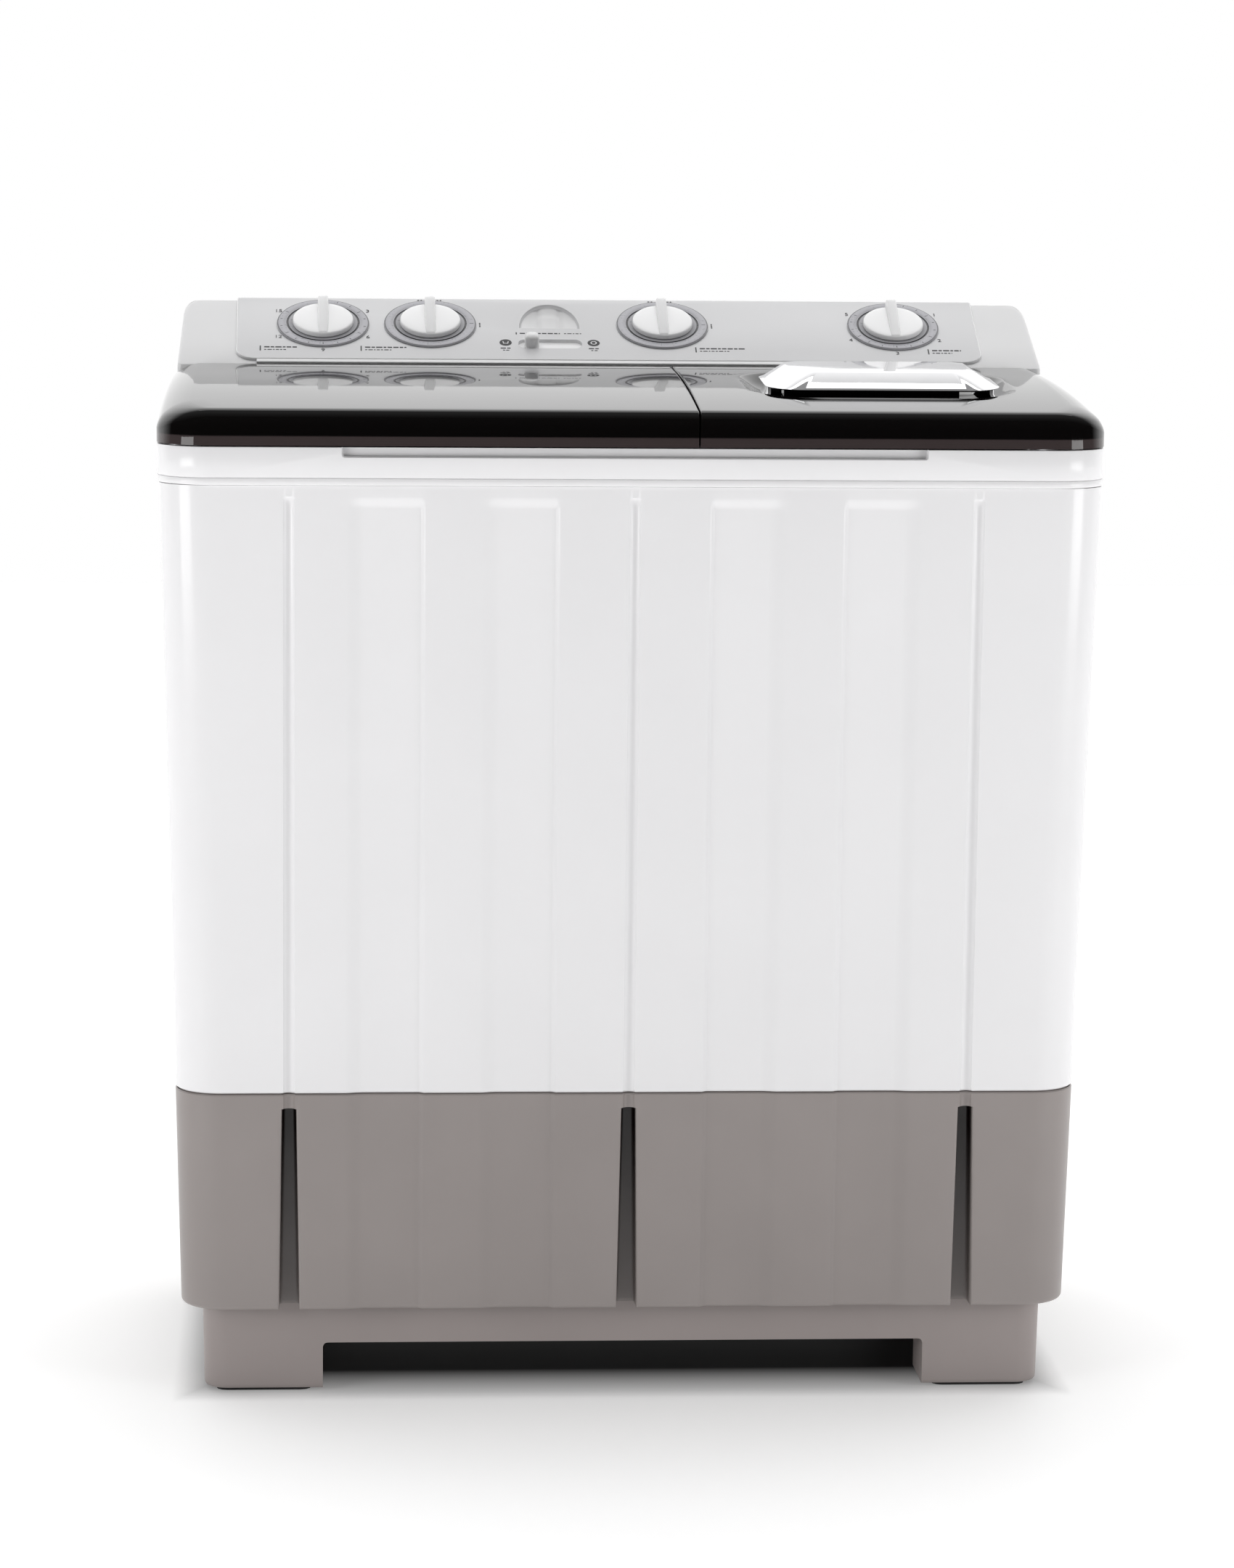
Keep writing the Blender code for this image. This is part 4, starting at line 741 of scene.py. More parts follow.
def lid_ring(spec, outer_x, split_x, bottom=None):
    """One level of a lid. The outer side and the front are rounded, the other two edges are square."""
    si, sd, fi, fd, ei, ed = spec
    sign = 1 if split_x > outer_x else -1
    rows = []
    for k in range(CORNER_STEPS + 1):
        t = radians(90 * k / CORNER_STEPS)
        x = outer_x + sign * (si + (RIM_R - si) * (1 - sin(t)))
        y = FRONT_Y + fi + (RIM_R - fi) * (1 - cos(t))
        rows.append((x, y, sin(t) ** 2))
    rear = LID_REAR_Y - ei
    first = FRONT_Y + RIM_R
    for k in range(1, SIDE_STEPS + 1):
        rows.append((outer_x + sign * si, first + (rear - first) * k / SIDE_STEPS, 1.0))
    near, far = [], []
    for i, (x, y, w) in enumerate(rows):
        z_far = crown(y) - (fd * (1 - w) + sd * w)
        z_near = crown(y) - (fd + (ed - fd) * smooth(i / 6))
        if bottom is not None:
            z_far = z_near = bottom
        far.append((x, y, z_far))
        near.append((split_x - sign * ei, y, z_near))
    front = [along(near[0], far[0], k / 24) for k in range(1, 24)]
    back = [along(far[-1], near[-1], k / 24) for k in range(1, 24)]
    ring = near[::-1] + front + far + back
    return ring if sign > 0 else ring[::-1]


def along(p, q, t):
    return tuple(a + (b - a) * t for a, b in zip(p, q))


DISH = Vector((0.236, -0.065))
DISH_STEPS = (
    (0.0, 0.0), (0.0035, 0.0006), (0.009, 0.0036), (0.017, 0.0088), (0.028, 0.0134), (0.04, 0.0156), (0.048, 0.016)
)


def reach(direction, hx, hy, r):
    """Distance from the centre of a rounded rectangle to its outline along a unit direction."""
    low, high = 0.0, 0.4
    for _ in range(30):
        t = (low + high) / 2
        dx = max(abs(direction.x) * t - (hx - r), 0.0)
        dy = max(abs(direction.y) * t - (hy - r), 0.0)
        inside = hypot(dx, dy) <= r
        low, high = (t, high) if inside else (low, t)
    return low


def dish_points(top, step_in, depth):
    w = min(1.0, step_in / 0.045)
    level = crown(DISH.y)
    ring = []
    for x, y, _ in top:
        d = (Vector((x, y)) - DISH).normalized()
        t = reach(d, 0.129 - step_in, 0.112 - step_in, 0.075 - 0.8 * step_in)
        px, py = DISH.x + d.x * t, DISH.y + d.y * t
        ring.append((px, py, crown(py) * (1 - w) + level * w - depth))
    return ring


def towards(ring, goal, share, on_crown):
    """A ring part of the way to a goal ring, lying on the crowned top if on_crown is set."""
    out = []
    for p, q in zip(ring, goal):
        x, y, z = along(p, q, share)
        out.append((x, y, crown(y) if on_crown else z))
    return out


def lid(body, outer_x, split_x, dished):
    levels = [lid_ring(LID_EDGE[0], outer_x, split_x, LID_BOTTOM)]
    levels += [lid_ring(spec, outer_x, split_x) for spec in curve_through(LID_EDGE, 4)]
    top = levels[-1]
    if dished:
        outline = dish_points(top, 0.0, 0.0)
        levels += [towards(top, outline, k / 10, True) for k in range(1, 10)]
        levels += [dish_points(top, i, d) for i, d in curve_through(DISH_STEPS, 4)]
        middle = [(DISH.x, DISH.y, crown(DISH.y) - 0.016)] * len(top)
        bottom = levels[-1]
        levels += [towards(bottom, middle, k / 4, False) for k in range(1, 4)]
        levels.append(towards(bottom, middle, 0.995, False))
    else:
        middle = [((outer_x + split_x) / 2, -0.06, 0.0)] * len(top)
        levels += [towards(top, middle, k / 14, True) for k in range(1, 14)]
        levels.append(towards(top, middle, 0.995, True))

    n = len(top)
    rear = LID_REAR_Y - 0.0003

    def open_rear(k, i):
        p, q = levels[0][i], levels[0][(i + 1) % n]
        return k == 0 and p[1] > rear and q[1] > rear

    sheet = loft(levels, caps=(False, True), skip=open_rear)
    shell = piece(f"{body}_shell", sheet, SMOKE, "smoked_lid", [body], 34, body=body)
    thicken(shell, LID_WALL, 34)
    # slots that let the shell pass both hinge posts
    starts = [HINGES[f"{body}_{side}"] - 0.0009 for side in ("left", "right")]
    slots = [box(x, x + 0.0096, HINGE_Y - 0.0073, HINGE_Y + 0.0073, 0.87, HINGE_Z + 0.0062) for x in starts]
    carve(shell, slots, angle=34)


def lid_ears():
    for name, x in HINGES.items():
        x += HINGE_BAR + 0.0008
        profile = hinge_arc(180, 360) + [(HINGE_R, 0.007), (-HINGE_R, 0.007)]
        ear = piece(f"{name}_ear", hinge_bar(x, profile), SMOKE, "smoked_lid", body=name.rsplit("_", 1)[0])
        carve(ear, [hinge_bore(x)])
        soften(ear, 0.0005, 2)


HANDLE = Vector((0.236, -0.0925))
HANDLE_FACETS = (
    # side inset, front inset, back inset, share of the way from the foot to the top
    (0.008, 0.005, 0.005, 0.0),
    (0.002, 0.0012, 0.002, 0.01),
    (0.0, 0.0, 0.0, 0.08),
    (0.0045, 0.0008, 0.0008, 0.18),
    (0.023, 0.018, 0.004, 0.94),
    (0.024, 0.0195, 0.0046, 0.98),
    (0.027, 0.024, 0.007, 1.0),
)
HANDLE_FOOT = 0.0034
HANDLE_TOP = 0.9455
HANDLE_SLOPE = 0.038
HANDLE_CREST_Y = -0.135


def handle_ring(side, front, back, share):
    x0, x1 = HANDLE.x - 0.109 + side, HANDLE.x + 0.109 - side
    y0, y1 = HANDLE.y - 0.0625 + front, HANDLE.y + 0.0625 - back
    ring = []
    for x, y, _ in rounded(x0, x1, y0, y1, 0.034 - 0.45 * side, 0, 10, 0.03 - 0.45 * side):
        foot = crown(y) + HANDLE_FOOT
        top = HANDLE_TOP + HANDLE_SLOPE * (y - HANDLE_CREST_Y)
        ring.append((x, y, foot + (top - foot) * share))
    return ring


def handle():
    rings = [handle_ring(*row) for row in HANDLE_FACETS]
    top = rings[-1]
    middle = [(HANDLE.x, p[1], p[2]) for p in top]
    rings.append(towards(top, middle, 0.5, False))
    rings.append(towards(top, middle, 0.995, False))
    piece("handle_bar", loft(rings), CHROME, "chrome", ["spin_lid_handle"], 22, body="spin_lid")
    for side, sign in (("left", -1), ("right", 1)):
        x0, x1 = sorted((HANDLE.x + sign * 0.106, HANDLE.x + sign * 0.092))
        legs = []
        for h, g in ((-0.0072, 0.002), (-0.004, 0.0), (0.005, 0.0)):
            ring = rounded(x0 - g, x1 + g, -0.114 - g, -0.0625 + g, 0.005, 0, 6)
            legs.append([(x, y, crown(y) + h) for x, y, _ in ring])
        piece(f"handle_leg_{side}", loft(legs), CHROME, "chrome", angle=50, body="spin_lid")
    web = box(HANDLE.x - 0.083, HANDLE.x + 0.083, -0.042, -0.036, 0.915, crown(-0.036) + 0.006)
    soften(piece("handle_web", web, BLACK_PLASTIC, "chrome", body="spin_lid"), 0.0008)


# Console


def slope_y(z, depth=0.0):
    if z <= PANEL_ORIGIN.z:
        return CONSOLE_FRONT_Y + depth
    start = PANEL_ORIGIN - PANEL_N * depth
    return max(CONSOLE_FRONT_Y + depth, start.y + (z - start.z) / tan(PANEL_ANGLE))


PANEL_MATRIX = Matrix.Translation(PANEL_ORIGIN) @ Matrix(
    ((1, 0, 0), (0, PANEL_S.y, PANEL_N.y), (0, PANEL_S.z, PANEL_N.z))
).to_4x4()


def on_panel(x, s, h=0.0):
    return PANEL_MATRIX @ Matrix.Translation((x, s, h))


def scoop_shape():
    """The hollow for a hose end: an arch above a flat lower edge, drawn in panel coordinates."""
    rings = []
    for k in range(25):
        t = radians(89 * k / 24)
        ring = []
        for i in range(48):
            a = 2 * pi * i / 48
            h = 0.0045 + 0.0125 * cos(t) * sin(a)
            ring.append((SCOOP_X + 0.03 * cos(t) * cos(a), SCOOP_S + 0.047 * sin(t), h))
        rings.append(ring)
    return loft(rings)


def channel_ring(grow, h):
    x0, x1, s0, s1 = CHANNEL
    return rounded(x0 - grow, x1 + grow, s0 - grow, s1 + grow, 0.008 + grow, h, 12)


def console():
    top_z = PANEL_ORIGIN.z + SLOPE_LENGTH * sin(PANEL_ANGLE)
    levels = [(CONSOLE_BASE, 0.4235), (0.9, 0.4224), (PANEL_ORIGIN.z - 0.001, 0.4206)]
    rises = [(PANEL_ORIGIN.z + 0.0015, 0.4204), (PANEL_ORIGIN.z + 0.02, 0.4188), (top_z - 0.0155, 0.417)]
    for k in range(1, 13):
        a = radians(90 * k / 12)
        rises.append((top_z - 0.0155 + 0.0155 * sin(a), 0.417 - 0.013 * (1 - cos(a))))
    rings = [
        rounded(-hx, hx, slope_y(z), CONSOLE_BACK_Y, 0.004, z, 6, min(0.0435, 0.9 * (CONSOLE_BACK_Y - slope_y(z))))
        for z, hx in levels + rises
    ]
    housing = piece("console_shell", loft(rings), CONSOLE, "console_plastic", ["console_housing"], 40)
    void_levels = (
        (0.86, 0.4205), (PANEL_ORIGIN.z - 0.0015, 0.4178), (top_z - 0.016, 0.414), (top_z - 0.0025, 0.406),
    )
    hollow = loft(
        [
            rounded(
                -hx, hx, slope_y(z, 0.0025), CONSOLE_BACK_Y - 0.0025, 0.002, z, 4,
                min(0.041, 0.8 * (CONSOLE_BACK_Y - slope_y(z))),
            )
            for z, hx in void_levels
        ]
    )
    port = along_y(turned((0, 0), [(0.0104, 0), (0.0104, 0.02)], 48), SCOOP_X, 0.24, 0.945)
    carve(housing, [hollow, port], angle=40)
    window = box(SCOOP_X - 0.0335, SCOOP_X + 0.0335, 0.0285, 0.116, -0.03, 0.02)
    carve(housing, [window], matrix=PANEL_MATRIX, angle=40)


def plate_point(x, s, h):
    if s < SLOPE_LENGTH:
        return PANEL_MATRIX @ Vector((x, s, h))
    corner = PANEL_MATRIX @ Vector((x, SLOPE_LENGTH, 0))
    up = (PANEL_N + Vector((0, 0, 1))) / (1 + PANEL_N.z)
    if s == SLOPE_LENGTH:
        return corner + up * h
    return corner + Vector((0, s - SLOPE_LENGTH, h))


def plate_ring(inward, h):
    r = 0.018
    half = []
    for k in range(17):
        a = radians(90 * k / 16)
        half.append((PLATE_HALF_W - r + (r - inward) * sin(a), 0.0055 + r - (r - inward) * cos(a)))
    half += [(PLATE_HALF_W - inward, SLOPE_LENGTH), (PLATE_HALF_W - inward, SLOPE_LENGTH + 0.01 - inward)]
    return [plate_point(x, s, h) for x, s in half] + [plate_point(-x, s, h) for x, s in reversed(half)]


def across(rings):
    """Loft whose first and last rings are filled with strips that run from side to side."""
    verts, faces = loft(rings, caps=(False, False))
    n = len(rings[0])
    for start in (0, len(verts) - n):
        faces.extend((start + i, start + i + 1, start + n - 2 - i, start + n - 1 - i) for i in range(n // 2 - 1))
    return verts, faces


def on_plate(name, shape, mat, angle=32):
    """A piece given in panel coordinates."""
    return piece(name, shape, mat, "panel_plate", angle=angle, matrix=PANEL_MATRIX)


def panel():
    plate = across([plate_ring(0.0012, h) for h in (0.0003, PLATE_T - 0.0001)])
    plate = piece("panel_plate", plate, PLATE, "panel_plate", ["control_panel"], 30)
    carve(plate, [loft([channel_ring(0.0, h) for h in (-0.02, 0.02)]), scoop_shape()], matrix=PANEL_MATRIX, angle=30)
    outer = [(0.0, 0.0003), (0.0, PLATE_T - 0.0009), (0.0002, PLATE_T - 0.0004), (0.0006, PLATE_T - 0.0001)]
    inner = [(0.0009, PLATE_T), (0.0011, PLATE_T - 0.0001), (0.0012, PLATE_T - 0.0003), (0.0012, 0.0003)]
    # painted highlight: the plate's rounded edge is made in white plastic, not the grey of the plate, for a bright
    # line along it
    painted_highlight_bead = loft([plate_ring(i, h) for i, h in outer + inner], closed=True)
    piece("plate_edge_painted_highlight", painted_highlight_bead, CLEAR_WHITE, "panel_plate", angle=60)
    foot = box(-PLATE_HALF_W + 0.02, PLATE_HALF_W - 0.02, 0.0003, 0.0064, 0.0001, 0.0022)
    soften(on_plate("plate_foot", foot, CLEAR_WHITE), 0.0007)
    section = ((0.0016, 0.0022), (0.0016, -0.008), (-0.0001, -0.008), (-0.0001, 0.0022))
    rings = [channel_ring(grow, h) for grow, h in section]
    floor = loft([[(x, s, -0.0001) for x, s, _ in rings[2]], rings[2]])
    on_plate("selector_channel", merged([loft(rings, closed=True), floor]), CLEAR_WHITE, 50)


def scoop_bowl():
    """The glossy lining of the scoop, with two flutes down its back."""
    verts, faces = [], []
    cols, rows = 48, 24
    for j in range(rows + 1):
        t = radians(89 * j / rows)
        for i in range(cols + 1):
            a = pi + pi * i / cols
            x = SCOOP_X + 0.0302 * cos(t) * cos(a)
            s = 0.0658 + 0.0474 * sin(t)
            flute = sum(exp(-(((x - SCOOP_X - d) / 0.003) ** 2)) for d in (-0.0105, 0.0105))
            h = 0.0045 + 0.0127 * cos(t) * sin(a) - 0.002 * flute * cos(t)
            verts.append((x, s, min(h, PLATE_T + 0.0001)))
    for j in range(rows):
        for i in range(cols):
            k = j * (cols + 1) + i
            faces.append((k, k + 1, k + cols + 2, k + cols + 1))
    on_plate("inlet_scoop", (verts, faces), CLEAR_WHITE, 60)
    lip = []
    for k in range(49):
        a = pi + pi * k / 48
        lip.append((SCOOP_X + 0.0302 * cos(a), min(0.0045 + 0.0127 * sin(a), PLATE_T)))
    front = [(x, 0.066, h) for x, h in lip] + [(x, 0.064, h) for x, h in reversed(lip)]
    on_plate("inlet_scoop_front", (front, [tuple(range(len(front)))]), CLEAR_WHITE)


# Dials, knobs and the slider

RING_PROFILE = (
    (0.006, 0.0), (0.045, 0.0), (0.0452, 0.0003), (0.0452, 0.0009), (0.0449, 0.0013), (0.0442, 0.0015),
    (0.0362, 0.0015), (0.0358, 0.0013), (0.0356, 0.0007), (0.0342, 0.0007), (0.034, 0.0013), (0.0336, 0.0015),
    (0.006, 0.0015),
)
KNOB_PROFILE = (
    (0.003, -0.018), (0.003, 0.0017), (0.029, 0.0017), (0.0296, 0.002), (0.0298, 0.0026), (0.0297, 0.0036),
    (0.0295, 0.0052), (0.0292, 0.006), (0.0287, 0.0065), (0.0278, 0.0068), (0.024, 0.0072), (0.016, 0.0077),
    (0.008, 0.008), (0.001, 0.0081),
)


def grip_shape():
    """The finger bar across a knob: low at the front, high at the back, narrower at the top."""
    line = curve_through(
        ((-0.0284, 0.0062), (-0.027, 0.0074), (-0.018, 0.0096), (0.0, 0.0125), (0.018, 0.0151), (0.0262, 0.0158),
         (0.029, 0.0148), (0.0298, 0.013)), 3,
    )
    top = 0.0042
    rings = []
    for y, z in line:
        half = [(0.0057, 0.005), (0.0054, 0.0068)]
        half += [(top + 0.0006, z - 0.001), (top + 0.0001, z - 0.0003), (top - 0.0006, z)]
        rings.append([(-0.0057, y, 0.005)] + [(x, y, h) for x, h in half] + [(-x, y, h) for x, h in half[:0:-1]])
    return loft(rings)


def dials():
    for name, x in DIALS.items():
        place = on_panel(x, DIAL_S, FACE)
        ring = turned((0, 0), RING_PROFILE, 128, closed=True)
        piece(f"{name}_ring", ring, DIAL, "dial_ring", [f"{name}_dial"], 30, place)
        knob = f"{name}_knob"
        piece(f"{name}_disc", turned((0, 0), KNOB_PROFILE, 96), KNOB, "knob", [knob], 40, place, knob)
        points, faces = grip_shape()
        grip = [place @ Vector(p) for p in points], faces
        piece(f"{name}_grip", grip, CLEAR_WHITE, "knob", angle=50, body=knob)


def slider():
    rings = []
    profile = ((0.0, 0.0002), (0.0, 0.009), (-0.0004, 0.0112), (-0.0018, 0.013), (-0.0042, 0.014))
    for grow, h in curve_through(profile, 3):
        rings.append(rounded(-0.007 - grow, 0.007 + grow, -0.007 - grow, 0.007 + grow, 0.0052 + grow * 0.9, h, 8))
    place = {"matrix": on_panel(SLIDER_X, 0.036, 0.0003), "body": "inlet_slider"}
    piece("slider_button", loft(rings), CLEAR_WHITE, "slider", ["inlet_selector_slider"], 50, **place)
    stem = box(-0.0015, 0.0015, -0.0015, 0.0015, -0.012, 0.001)
    soften(piece("slider_stem", stem, CLEAR_WHITE, "slider", **place), 0.0003)


# Printing on the panel


def numeral(name, text, x, s):
    """A number printed on the panel."""
    curve = bpy.data.curves.new(name, "FONT")
    curve.body = text
    curve.size = 0.0078
    curve.align_x = curve.align_y = "CENTER"
    curve.extrude = 0.00006
    curve.resolution_u = 4
    holder = shown(f"{name}_curve", curve)
    graph = bpy.context.evaluated_depsgraph_get()
    mesh = bpy.data.meshes.new_from_object(holder.evaluated_get(graph))
    bpy.data.objects.remove(holder, do_unlink=True)
    mesh.name = name
    mesh.materials.clear()
    mesh.materials.append(INK)
    obj = shown(name, mesh, on_panel(x, s, PLATE_T + 0.00007))
    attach(obj, "cabinet")


def tablet(x0, x1, s0, s1, r=0.0004):
    """A small flat print with rounded corners."""
    return loft([rounded(x0, x1, s0, s1, r, h, 2) for h in (PLATE_T - 0.0001, PLATE_T + 0.00008)])


def dashes(x0, x1, s, height, pattern):
    """A row of short bars where small print would be."""
    shapes = []
    x = x0
    k = 0
    while x < x1:
        width = min(pattern[k % len(pattern)], x1 - x)
        if width > 0.0006:
            shapes.append(tablet(x, x + width, s - height / 2, s + height / 2, 0.0003))
        x += width + 0.0011
        k += 1
    return shapes


LABELS = {
    "wash_timer": (-0.341, -0.3055, 0.0245),
    "wash_selector": (-0.243, -0.199, 0.025),
    "drain_selector": (0.084, 0.132, 0.026),
    "spin_timer": (0.3127, 0.345, 0.025),
}
LONG_PRINT = (0.0052, 0.0034, 0.0061, 0.0027, 0.0045)
SHORT_PRINT = (0.0021, 0.0043, 0.0016, 0.003)
BADGE_S = 0.038
MARK_R = 0.0031
NUMBER_R = 0.0505
TUB_MARK = (
    (-0.003, 0.002), (-0.0024, -0.0022), (0.0024, -0.0022), (0.003, 0.002), (0.0021, 0.002), (0.0017, -0.0013),
    (-0.0017, -0.0013), (-0.0021, 0.002),
)


def printing():
    for name, (x0, x1, s) in LABELS.items():
        rows = [tablet(x0 - 0.0006, x0 + 0.0006, s - 0.0048, s + 0.0048)]
        rows += dashes(x0 + 0.0038, x1, s + 0.0024, 0.002, LONG_PRINT)
        rows += dashes(x0 + 0.0038, x0 + 0.0038 + 0.6 * (x1 - x0), s - 0.0026, 0.0013, SHORT_PRINT)
        on_plate(f"{name}_label", merged(rows), INK)
    for name, numbers in (("wash_timer", (3, 6, 9, 12, 15)), ("spin_timer", (1, 2, 3, 4, 5))):
        for k, number in enumerate(numbers):
            a = radians(60 * (k + 1))
            x = DIALS[name] + NUMBER_R * sin(a)
            numeral(f"{name}_number_{number}", str(number), x, DIAL_S + NUMBER_R * cos(a))
    for name in DIALS:
        ticks = []
        count = 16 if name.endswith("timer") else 2
        spread = 300 if count == 16 else 90
        for k in range(count):
            a = radians(spread * k / (count - 1))
            long_tick = k % 3 == 0 or count == 2
            r0, r1 = (0.0388, 0.0424) if long_tick else (0.0402, 0.0424)
            side = Vector((cos(a), -sin(a))) * 0.0003
            out = Vector((sin(a), cos(a)))
            ring = [out * r0 - side, out * r0 + side, out * r1 + side, out * r1 - side]
            ticks.append(loft([[(p.x, p.y, h) for p in ring] for h in (0.0014, 0.00158)]))
        piece(f"{name}_ticks", merged(ticks), INK, "dial_ring", matrix=on_panel(DIALS[name], DIAL_S, FACE))
    for name in ("wash_selector", "drain_selector"):
        x = DIALS[name]
        marks = dashes(x - 0.012, x - 0.007, DIAL_S + 0.0478, 0.0014, SHORT_PRINT)
        marks += dashes(x + 0.007, x + 0.012, DIAL_S + 0.0478, 0.0014, SHORT_PRINT)
        for k in range(3):
            marks.append(tablet(x + 0.048, x + 0.0494, DIAL_S - 0.004 + 0.003 * k, DIAL_S - 0.002 + 0.003 * k))
        on_plate(f"{name}_marks", merged(marks), INK)
    inlet = [tablet(-0.0915, -0.0903, 0.054, 0.058)]
    inlet += dashes(-0.0875, -0.048, 0.056, 0.0018, LONG_PRINT)
    inlet += dashes(-0.044, -0.027, 0.056, 0.0012, SHORT_PRINT)
    on_plate("inlet_label", merged(inlet), INK)
    for side, x in (("wash", -0.1019), ("spin", -0.0157)):
        disc = [circle((x, BADGE_S), 0.006, h, 48) for h in (PLATE_T - 0.0001, PLATE_T + 0.0001)]
        rows = dashes(x - 0.0052, x + 0.0052, 0.0272, 0.0017, LONG_PRINT)
        rows += dashes(x - 0.003, x + 0.0032, 0.0234, 0.0012, SHORT_PRINT)
        on_plate(f"inlet_{side}_badge", merged([loft(disc)] + rows), INK)
        top = PLATE_T + 0.00012
        if side == "wash":
            levels = [[(x + px, BADGE_S + ps, h) for px, ps in TUB_MARK] for h in (top - 0.0001, top + 0.0001)]
        else:
            section = ((MARK_R, top), (MARK_R, top + 0.0001), (0.7 * MARK_R, top + 0.0001), (0.7 * MARK_R, top))
            levels = [circle((x, BADGE_S), r, h, 32) for r, h in section]
        on_plate(f"inlet_{side}_mark", loft(levels, closed=side == "spin"), PALE_INK)


# Wash side


def tub_ring(hx, hy, r, z, flute=0.0):
    """A level of the wash tub. Shallow flutes run down its four walls."""
    ring = []
    for x, y, _ in fine(centred(WASH, hx, hy, r, z, 20)):
        dx, dy = x - WASH.x, y - WASH.y
        wave_x = cos(2 * pi * dx / 0.048) * (abs(dx) < hx - r)
        wave_y = cos(2 * pi * dy / 0.048) * (abs(dy) < hy - r)
        push = flute * 0.0012
        if abs(dy) > hy - 0.001:
            y -= copysign(push * max(0.0, wave_x), dy)
        if abs(dx) > hx - 0.001:
            x -= copysign(push * max(0.0, wave_y), dx)
        ring.append((x, y, z))
    return ring


def fine(ring):
    """Add points along the straight sides of a rounded rectangle, by the same count on each side."""
    n = len(ring)
    quarter = n // 4
    out = []
    for i, p in enumerate(ring):
        q = ring[(i + 1) % n]
        out.append(p)
        if (i + 1) % quarter == 0:
            out += [along(p, q, k / 24) for k in range(1, 24)]
    return out


TUB_FLOOR = ((0.0125, 0.0125, 0.0125, 0.4076, 0.0), (0.15, 0.125, 0.11, 0.4076, 0.0))
TUB_WALL = (
    # half width, half depth, corner, height, flute
    (0.17, 0.1435, 0.12, 0.4078, 0.0), (0.185, 0.148, 0.105, 0.418, 0.0),
    (0.1925, 0.1505, 0.09, 0.452, 0.3), (0.1965, 0.1528, 0.085, 0.55, 1.0),
    (0.201, 0.1556, 0.079, 0.68, 1.0), (0.205, 0.1583, 0.073, 0.79, 1.0),
    (0.2072, 0.1598, 0.0695, 0.85, 0.0), (0.2075, 0.16, 0.069, 0.864, 0.0),
)


def wash_tub():
    rings = [tub_ring(*row) for row in (*TUB_FLOOR, *curve_through(TUB_WALL, 4))]
    flange = [tub_ring(0.2085, 0.161, 0.07, 0.866), tub_ring(0.2165, 0.169, 0.074, 0.8662)]
    sheet = loft(rings + flange, caps=(False, False))
    thicken(piece("wash_tub_shell", sheet, TUB, "tub_plastic", ["wash_tub"], 40), 0.0023, 40, even=False)
    strainer = [(0.01, 0.4078), (0.015, 0.4078), (0.015, 0.4092), (0.0138, 0.4098), (0.01, 0.4098)]
    ring = turned((-0.065, 0.015), strainer, 48, closed=True)
    piece("drain_strainer_rim", ring, BLUE, "tub_plastic", angle=50)


def pulsator():
    """Agitator disc with six swept vanes and a domed hub."""
    rows, cols = 40, 180
    rings = [circle(WASH, r, z, cols) for r, z in ((0.137, 0.4106), (0.1405, 0.4122), (0.1405, 0.4152))]
    for j in range(rows + 1):
        r = 0.1395 - (0.1395 - 0.02) * j / rows
        dish = 0.4172 + 0.0034 * smooth((0.075 - r) / 0.055) * 3.2
        ring = []
        for i in range(cols):
            a = 2 * pi * i / cols
            sweep = a + 0.55 * (r - 0.08) / 0.08
            ridge = max(0.0, cos(3 * sweep)) ** 10 + max(0.0, cos(3 * (sweep + pi / 3))) ** 10
            fade = smooth((0.138 - r) / 0.03) * smooth((r - 0.02) / 0.03)
            ring.append((WASH.x + r * cos(a), WASH.y + r * sin(a), dish + 0.0135 * ridge * fade))
        rings.append(ring)
    hub = ((0.0185, 0.4312), (0.016, 0.434), (0.012, 0.4352), (0.001, 0.4358))
    rings += [circle(WASH, r, z, cols) for r, z in hub]
    piece("pulsator_disc", loft(rings), BLUE, "pulsator_plastic", ["pulsator"], 50, body="pulsator")


def filter_frame():
    outline = loft([rounded(-0.24, -0.14, 0.56, 0.74, 0.012, h, 8) for h in (0.0, 0.018)])
    frame_shape = upright(outline, 0.0725)
    body = piece("filter_frame", frame_shape, BLUE, "pulsator_plastic", ["lint_filter"], 40, body="lint_filter")
    left, right, height, half = -0.228, -0.152, 0.045, 0.0005
    windows = (0.575, 0.632, 0.689)
    carve(body, [box(left, right, 0.06, 0.084, z, z + height) for z in windows], angle=40)
    soften(body, 0.0016, 3)
    bars = []
    for z in windows:
        for k in range(1, 10):
            x = left + 0.0076 * k
            bars.append(box(x - half, x + half, 0.0745, 0.0755, z, z + height))
        for k in range(1, 6):
            level = z + 0.0075 * k
            bars.append(box(left, right, 0.0755, 0.0765, level - half, level + half))
    piece("filter_mesh", merged(bars), PALE_INK, "pulsator_plastic", body="lint_filter")


# Spin side


